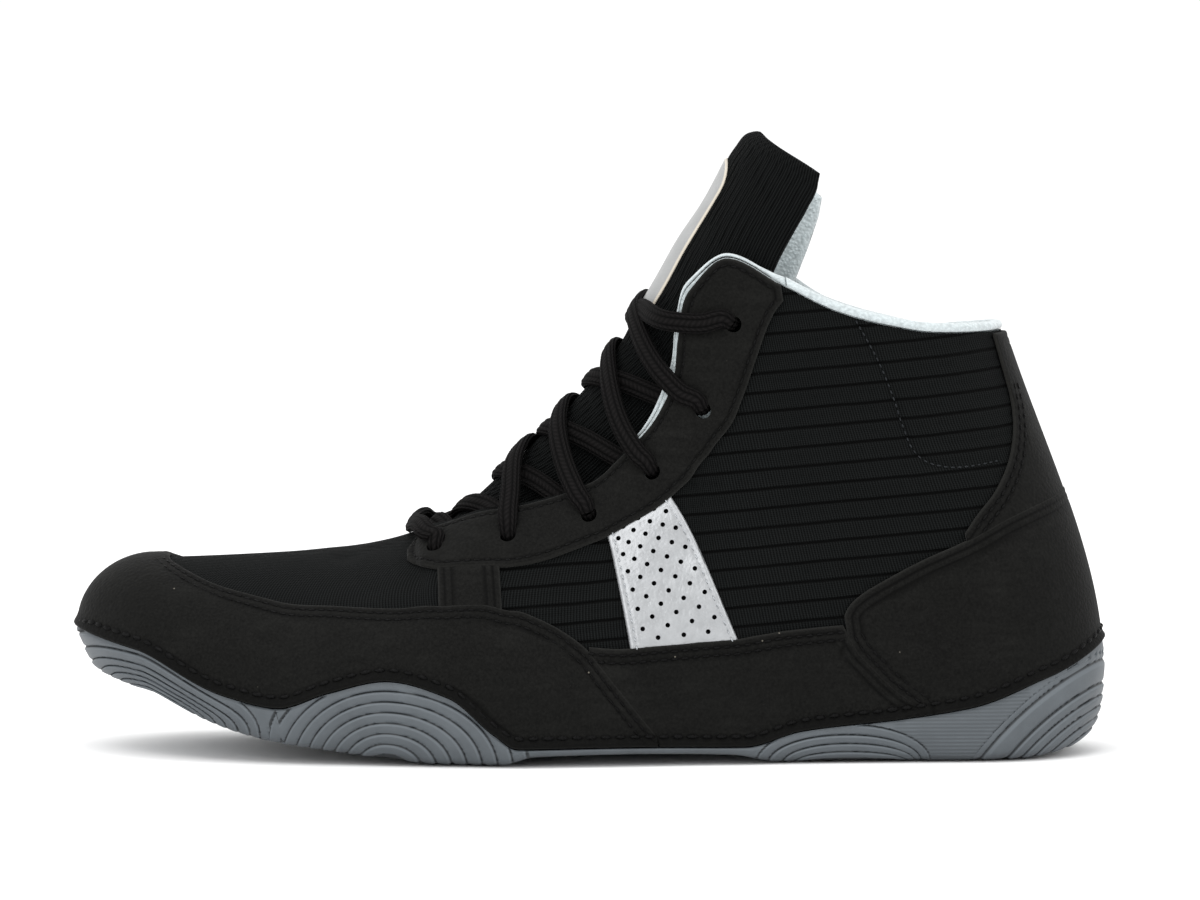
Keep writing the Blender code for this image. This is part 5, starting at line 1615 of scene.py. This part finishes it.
class LaceRoute:
    """The places and facings that one half of the lace runs through, from the bar to its top eyelet."""

    def __init__(self, side):
        self.points, self.facings, self.squeeze = [], [], []
        self.side = side
        self.flip = 1.0

    def go(self, point, facing, squeeze=0.0):
        self.points.append(point)
        self.facings.append(facing / np.linalg.norm(facing))
        self.squeeze.append(squeeze)

    def on_wall(self, share, rise, offset):
        angle = float(angle_at(share))
        normal = wall_normal(self.side, angle, rise)
        self.go(skin(self.side, angle, rise, offset), normal * self.flip)

    def toward_edge(self, eyelet, share, offset):
        """A place between an eyelet and the throat edge, over or under the eyestay."""
        at, rise, edge = eyelet
        angles, rises = angle_at([at, edge]), np.array([rise, THROAT_RISE])
        first, last = skin(self.side, angles, rises, offset)
        middle = float(angles @ (1 - share, share)), float(rises @ (1 - share, share))
        normal = wall_normal(self.side, *middle)
        point = first + (last - first) * share
        swell = np.dot(skin(self.side, *middle, offset) - point, normal)
        self.go(point + normal * swell, normal * self.flip)

    def through_eyelet(self, eyelet, upwards):
        """Through the punched hole, turning over its rim."""
        at, rise, edge = eyelet
        angle = float(angle_at(at))
        normal = wall_normal(self.side, angle, rise)
        centre = skin(self.side, angle, rise, 0.0)
        near = float(angle_at(at + (edge - at) * 0.2))
        toward = skin(self.side, near, rise + (THROAT_RISE - rise) * 0.2, 0.0) - centre
        toward /= np.linalg.norm(toward)
        for inward, out, tight in EYELET_RUN[::-1] if upwards else EYELET_RUN:
            turned = tight == 1.0
            facing = -toward if turned else normal * self.flip - toward * (tight - 0.2)
            self.go(centre + toward * inward + normal * out, facing, tight)
            if turned:
                self.flip = -self.flip

    def over_tongue(self, here, there, number, bed):
        """Across the tongue, or a bed on it, from this side's throat edge to the other's."""
        first = tongue_spot(wall_point(self.side, float(angle_at(here)), 1.0))
        last = tongue_spot(wall_point(-self.side, float(angle_at(there)), 1.0))
        ridge = LACE_RIDGE[number][BOTH.index(self.side)]
        for share, high in LACE_CLIMB[number > 0:-1 if bed else None]:
            along = first[0] + (last[0] - first[0]) * share
            bow = (1 - abs(2 * share - 1) + math.sin(math.pi * share)) / 2
            along += (ridge - (first[0] + last[0]) / 2) * bow
            across = first[1] + (last[1] - first[1]) * share
            normal = tongue_skin(along, across, 1.0) - tongue_skin(along, across, 0.0)
            lift = LACE_THICKNESS * high if self.side == LATERAL else 0.0
            point = tongue_skin(along, across, bed + LACE_THICKNESS / 2 + lift)
            self.go(point, normal * self.flip)
        self.side = -self.side


def lace_half(side):
    """One half of the lace: from the bar at the vamp, up through every eyelet, to inside the top one."""
    above = GAP + OVERLAY_WALL + LACE_THICKNESS / 2 + LACE_CLEAR_OVER
    below = -UPPER_WALL - LACE_THICKNESS / 2 - LACE_CLEAR_UNDER
    route = LaceRoute(side)
    for share, rise in LACE_BAR:
        route.on_wall(share, rise, above)
    route.through_eyelet(EYELETS[0], upwards=False)
    route.toward_edge(EYELETS[0], 0.7, below)
    for number, (here, there) in enumerate(zip(EYELETS, EYELETS[1:])):
        for share in (0.5, 0.98) if number else ():
            route.toward_edge(here, share, above)
        top = there is EYELETS[-1]
        end_edge = there[2] if top else 0.25 * here[2] + 0.75 * there[2]
        route.over_tongue(here[2], end_edge, number, TAPE_WALL if top else 0.0)
        for share in (0.98, 0.5) if top else (0.85, 0.45):
            route.toward_edge((*there[:2], end_edge), share, above if top else below)
        route.through_eyelet(there, upwards=not top)
    route.toward_edge(EYELETS[-1], 0.5, below)
    return route


def make_laces(materials, sizes):
    """The flat braided lace, woven through all twelve eyelets, with its ends tucked inside the top ones."""
    left, right = lace_half(LATERAL), lace_half(MEDIAL)
    points = np.array(left.points[::-1] + right.points)
    facings = np.array([f * left.flip for f in left.facings[::-1]] + right.facings)
    squeeze = np.array(left.squeeze[::-1] + right.squeeze)
    for i in range(1, len(facings)):
        if np.dot(facings[i], facings[i - 1]) < -0.2:
            facings[i:] *= -1
    count = int(run_lengths(points, 0)[-1] / LACE_STEP)
    path = through(points, count)
    facing = through(facings, count, points)
    tight = np.clip(through(squeeze[:, None], count, points)[:, 0], 0, 1)
    tangent = np.gradient(path, axis=0)
    tangent /= np.linalg.norm(tangent, axis=1, keepdims=True)
    across = np.cross(tangent, facing)
    across /= np.linalg.norm(across, axis=1, keepdims=True)
    up = np.cross(across, tangent)
    run = run_lengths(path, 0)
    width = sizes.lace_width * (1 - LACE_PINCH * tight)
    thick = sizes.lace_thickness * (1 + LACE_SWELL * tight)
    grid, uvs = [], []
    for turn in np.linspace(0, 2 * math.pi, 4 * BRAID_COLUMNS + 1):
        c, s = math.cos(turn), math.sin(turn)
        place = BRAID_COLUMNS * BRAID_WIDTH_MM * turn / (2 * math.pi)
        fold = abs((place / BRAID_WIDTH_MM + 1) % 2 - 1) * BRAID_WIDTH_MM
        phase = (run * 1000 + fold * BRAID_SLANT) / BRAID_PITCH_MM * 2 * math.pi
        plump = BRAID_RELIEF * math.sin(math.pi * fold / BRAID_WIDTH_MM) * (1 + 0.4 * np.cos(phase))
        wide = c * (abs(c) ** -0.2 * width / 2 + plump) if abs(c) > 1e-6 else 0 * run
        high = s * (abs(s) ** -0.2 * thick / 2 + plump) if abs(s) > 1e-6 else 0 * run
        grid.append(path + across * wide[:, None] + up * high[:, None])
        uvs.append(np.stack([np.full(len(run), place), run * 1000], axis=-1))
    shell = Shell()
    ids = shell.add(np.stack(grid), np.stack(uvs))
    shell.cover(ids)
    shell.cap(ids[:, 0])
    shell.cap(ids[:, -1])
    item = shell.finish("lace_braid", [materials["lace"]])
    crossings = ["lace_crossing_%d" % number for number in range(1, len(EYELETS))]
    seat(item, "lace", "lace_bar", *crossings)


# The stage

LOOK_AT = Vector((0.00305, 0.0, 0.0837))
CAMERA_ELEVATION = math.radians(4.75)
CAMERA_DISTANCE = 3.2
SENSOR_WIDTH_MM = 36.0
FOCAL_MM = 346.3
FLOOR_SIZE = 24.0
# Soft boxes: where they stand, their size in metres and their power in watts.
LIGHTS = (
    ("top_box", (-0.3, -0.6, 1.9), 1.6, 22.0),
    ("front_box", (-1.1, -2.2, 0.9), 1.4, 16.0),
    ("side_box", (1.6, -0.9, 0.9), 1.0, 8.0),
)


def make_stage(materials, colours):
    """White seamless paper, three soft boxes, an even room and the camera at the shoe's side."""
    mesh = bpy.data.meshes.new("paper_floor")
    half = FLOOR_SIZE / 2
    corners = [(-half, -half, 0), (half, -half, 0), (half, half, 0), (-half, half, 0)]
    mesh.from_pydata(corners, [], [(0, 1, 2, 3)])
    mesh.materials.append(materials["floor"])
    link_object("paper_floor", mesh)
    for name, place, size, power in LIGHTS:
        lamp = bpy.data.lights.new(name, "AREA")
        lamp.shape = "SQUARE"
        lamp.size = size
        lamp.energy = power
        item = link_object(name, lamp)
        item.location = place
        item.rotation_euler = (LOOK_AT - Vector(place)).to_track_quat("-Z", "Y").to_euler()
    world = bpy.data.worlds.new("even_room")
    world.use_nodes = True
    light = world.node_tree.nodes["Background"].inputs
    light["Color"].default_value = rgba(colours.room)
    light["Strength"].default_value = ROOM_STRENGTH
    bpy.context.scene.world = world
    camera = bpy.data.cameras.new("side_camera")
    camera.sensor_width = SENSOR_WIDTH_MM
    camera.lens = FOCAL_MM
    camera.clip_end = FLOOR_SIZE * 2
    item = link_object("side_camera", camera)
    back = Vector((0, -math.cos(CAMERA_ELEVATION), math.sin(CAMERA_ELEVATION)))
    item.location = LOOK_AT + back * CAMERA_DISTANCE
    item.rotation_euler = (-back).to_track_quat("-Z", "Y").to_euler()
    bpy.context.scene.camera = item
    bpy.context.scene.view_settings.view_transform = "Standard"


# The add-on: settings, operators and panel


def length(name, description, default):
    return bpy.props.FloatProperty(
        name=name, description=description, default=default, min=0.0, unit="LENGTH", precision=5
    )


def paint(name, description, code):
    return bpy.props.FloatVectorProperty(
        name=name, description=description, default=colour(code), size=3, subtype="COLOR", min=0, max=1
    )


class ShoeSizes(bpy.types.PropertyGroup):
    """Sizes of the shoe's details."""

    groove_depth: length("Groove depth", "How deep the knit's level grooves are", 0.0004)
    eyelet_radius: length("Eyelet radius", "Radius of the punched lace holes", 0.0023)
    hole_radius: length("Perforation radius", "Radius of the saddle's perforations", 0.00068)
    hole_pitch: length("Perforation pitch", "Distance between perforations in a row", 0.0058)
    stitch_length: length("Stitch length", "Length of a lockstitch", 0.0022)
    stitch_width: length("Stitch width", "Width of the thread", 0.00065)
    stitch_gap: length("Stitch gap", "Distance between two stitches", 0.0006)
    sole_stitch: length("Sole stitch", "Length of the heavy stitch above the sole", 0.0034)
    lace_width: length("Lace width", "Width of the flat lace", 0.0054)
    lace_thickness: length("Lace thickness", "Thickness of the flat lace", 0.0023)


class ShoeColours(bpy.types.PropertyGroup):
    """Colours of the shoe and its studio."""

    knit: paint("Knit", "Ribbed knit of the upper and tongue", "#080909")
    nubuck: paint("Nubuck", "Nubuck overlays", "#0f0f0e")
    rubber: paint("Rubber", "Moulded sole", "#505559")
    silver: paint("Silver", "Perforated saddle", "#a4a6a8")
    lining: paint("Lining", "Terry lining and collar roll", "#b6bfc1")
    label: paint("Tape", "Tape on the tongue", "#8c8d8d")
    lace: paint("Lace", "Braided lace", "#0a0909")
    thread: paint("Thread", "Black sewing thread", "#060606")
    seam: paint("Seam thread", "Thread on the silver saddle", "#9b9ea1")
    quilt: paint("Quilting thread", "Thread of the quilted line round the ankle", "#232527")
    insole: paint("Insole", "Insole cloth", "#5d666c")
    floor: paint("Floor", "Seamless paper", "#f6f6f6")
    room: paint("Room light", "Even light from all round", "#ffffff")


WORDS = {LATERAL: "lateral", MEDIAL: "medial"}
finishes = {}


def dress_up(context):
    """The finishes, made once, with the sizes in use."""
    if not finishes:
        finishes.update(make_materials(context.scene.shoe_colours))
    return finishes, context.scene.shoe_sizes


class SHOE_OT_stage(bpy.types.Operator):
    """Add the seamless paper, the soft boxes, the room light and the camera"""

    bl_idname = "shoe.stage"
    bl_label = "Add stage"

    def execute(self, context):
        make_stage(dress_up(context)[0], context.scene.shoe_colours)
        return {"FINISHED"}


class SHOE_OT_sole(bpy.types.Operator):
    """Add the moulded rubber sole and the insole"""

    bl_idname = "shoe.sole"
    bl_label = "Add sole"

    def execute(self, context):
        materials = dress_up(context)[0]
        make_outsole(materials)
        make_insole(materials)
        return {"FINISHED"}


class SHOE_OT_upper(bpy.types.Operator):
    """Add the knitted upper with its punched lace holes"""

    bl_idname = "shoe.upper"
    bl_label = "Add upper"

    def execute(self, context):
        make_upper(*dress_up(context))
        return {"FINISHED"}


class SHOE_OT_overlays(bpy.types.Operator):
    """Add the nubuck overlays: toe cap, side bands, counter, heel strip, eyestays and gussets"""

    bl_idname = "shoe.overlays"
    bl_label = "Add nubuck overlays"

    def execute(self, context):
        materials, sizes = dress_up(context)
        make_toe_rand(materials)
        make_heel_counter(materials)
        make_heel_strip(materials)
        for side, word in WORDS.items():
            make_side_panel(materials, side, word)
            make_eyestay(materials, sizes, side, word)
            make_gusset(materials, side, word)
        return {"FINISHED"}


class SHOE_OT_saddles(bpy.types.Operator):
    """Add the perforated silver saddles"""

    bl_idname = "shoe.saddles"
    bl_label = "Add silver saddles"

    def execute(self, context):
        for side, word in WORDS.items():
            make_saddle(*dress_up(context), side, word)
        return {"FINISHED"}


class SHOE_OT_trims(bpy.types.Operator):
    """Add the terry collar roll and throat edges"""

    bl_idname = "shoe.trims"
    bl_label = "Add terry trims"

    def execute(self, context):
        materials = dress_up(context)[0]
        make_collar_binding(materials)
        for side, word in WORDS.items():
            make_throat_trim(materials, side, word)
        return {"FINISHED"}


class SHOE_OT_tongue(bpy.types.Operator):
    """Add the padded tongue and its tape"""

    bl_idname = "shoe.tongue"
    bl_label = "Add tongue"

    def execute(self, context):
        materials = dress_up(context)[0]
        make_tongue(materials)
        make_tongue_label(materials)
        return {"FINISHED"}


class SHOE_OT_laces(bpy.types.Operator):
    """Add the braided lace, woven through the eyelets"""

    bl_idname = "shoe.laces"
    bl_label = "Add lace"

    def execute(self, context):
        make_laces(*dress_up(context))
        return {"FINISHED"}


class SHOE_OT_stitches(bpy.types.Operator):
    """Add the stitch rows, the heavy sole stitch and the quilting"""

    bl_idname = "shoe.stitches"
    bl_label = "Add stitches"

    def execute(self, context):
        make_stitches(*dress_up(context))
        return {"FINISHED"}


OPERATORS = (
    SHOE_OT_stage,
    SHOE_OT_sole,
    SHOE_OT_upper,
    SHOE_OT_overlays,
    SHOE_OT_saddles,
    SHOE_OT_trims,
    SHOE_OT_tongue,
    SHOE_OT_laces,
    SHOE_OT_stitches,
)


class SHOE_PT_panel(bpy.types.Panel):
    """Lists the shoe's pieces and their settings"""

    bl_label = "Wrestling shoe"
    bl_idname = "SHOE_PT_panel"
    bl_space_type = "VIEW_3D"
    bl_region_type = "UI"
    bl_category = "Shoe"

    def draw(self, context):
        for operator in OPERATORS:
            self.layout.operator(operator.bl_idname)
        for group in (context.scene.shoe_sizes, context.scene.shoe_colours):
            box = self.layout.box()
            for key in group.__annotations__:
                box.prop(group, key)


CLASSES = (ShoeSizes, ShoeColours, *OPERATORS, SHOE_PT_panel)


def register():
    for item in CLASSES:
        bpy.utils.register_class(item)
    bpy.types.Scene.shoe_sizes = bpy.props.PointerProperty(type=ShoeSizes)
    bpy.types.Scene.shoe_colours = bpy.props.PointerProperty(type=ShoeColours)


def unregister():
    del bpy.types.Scene.shoe_sizes
    del bpy.types.Scene.shoe_colours
    for item in reversed(CLASSES):
        bpy.utils.unregister_class(item)


def main():
    register()
    bpy.ops.shoe.stage()
    bpy.ops.shoe.sole()
    bpy.ops.shoe.upper()
    bpy.ops.shoe.overlays()
    bpy.ops.shoe.saddles()
    bpy.ops.shoe.trims()
    bpy.ops.shoe.tongue()
    bpy.ops.shoe.laces()
    bpy.ops.shoe.stitches()


if __name__ == "__main__":
    main()
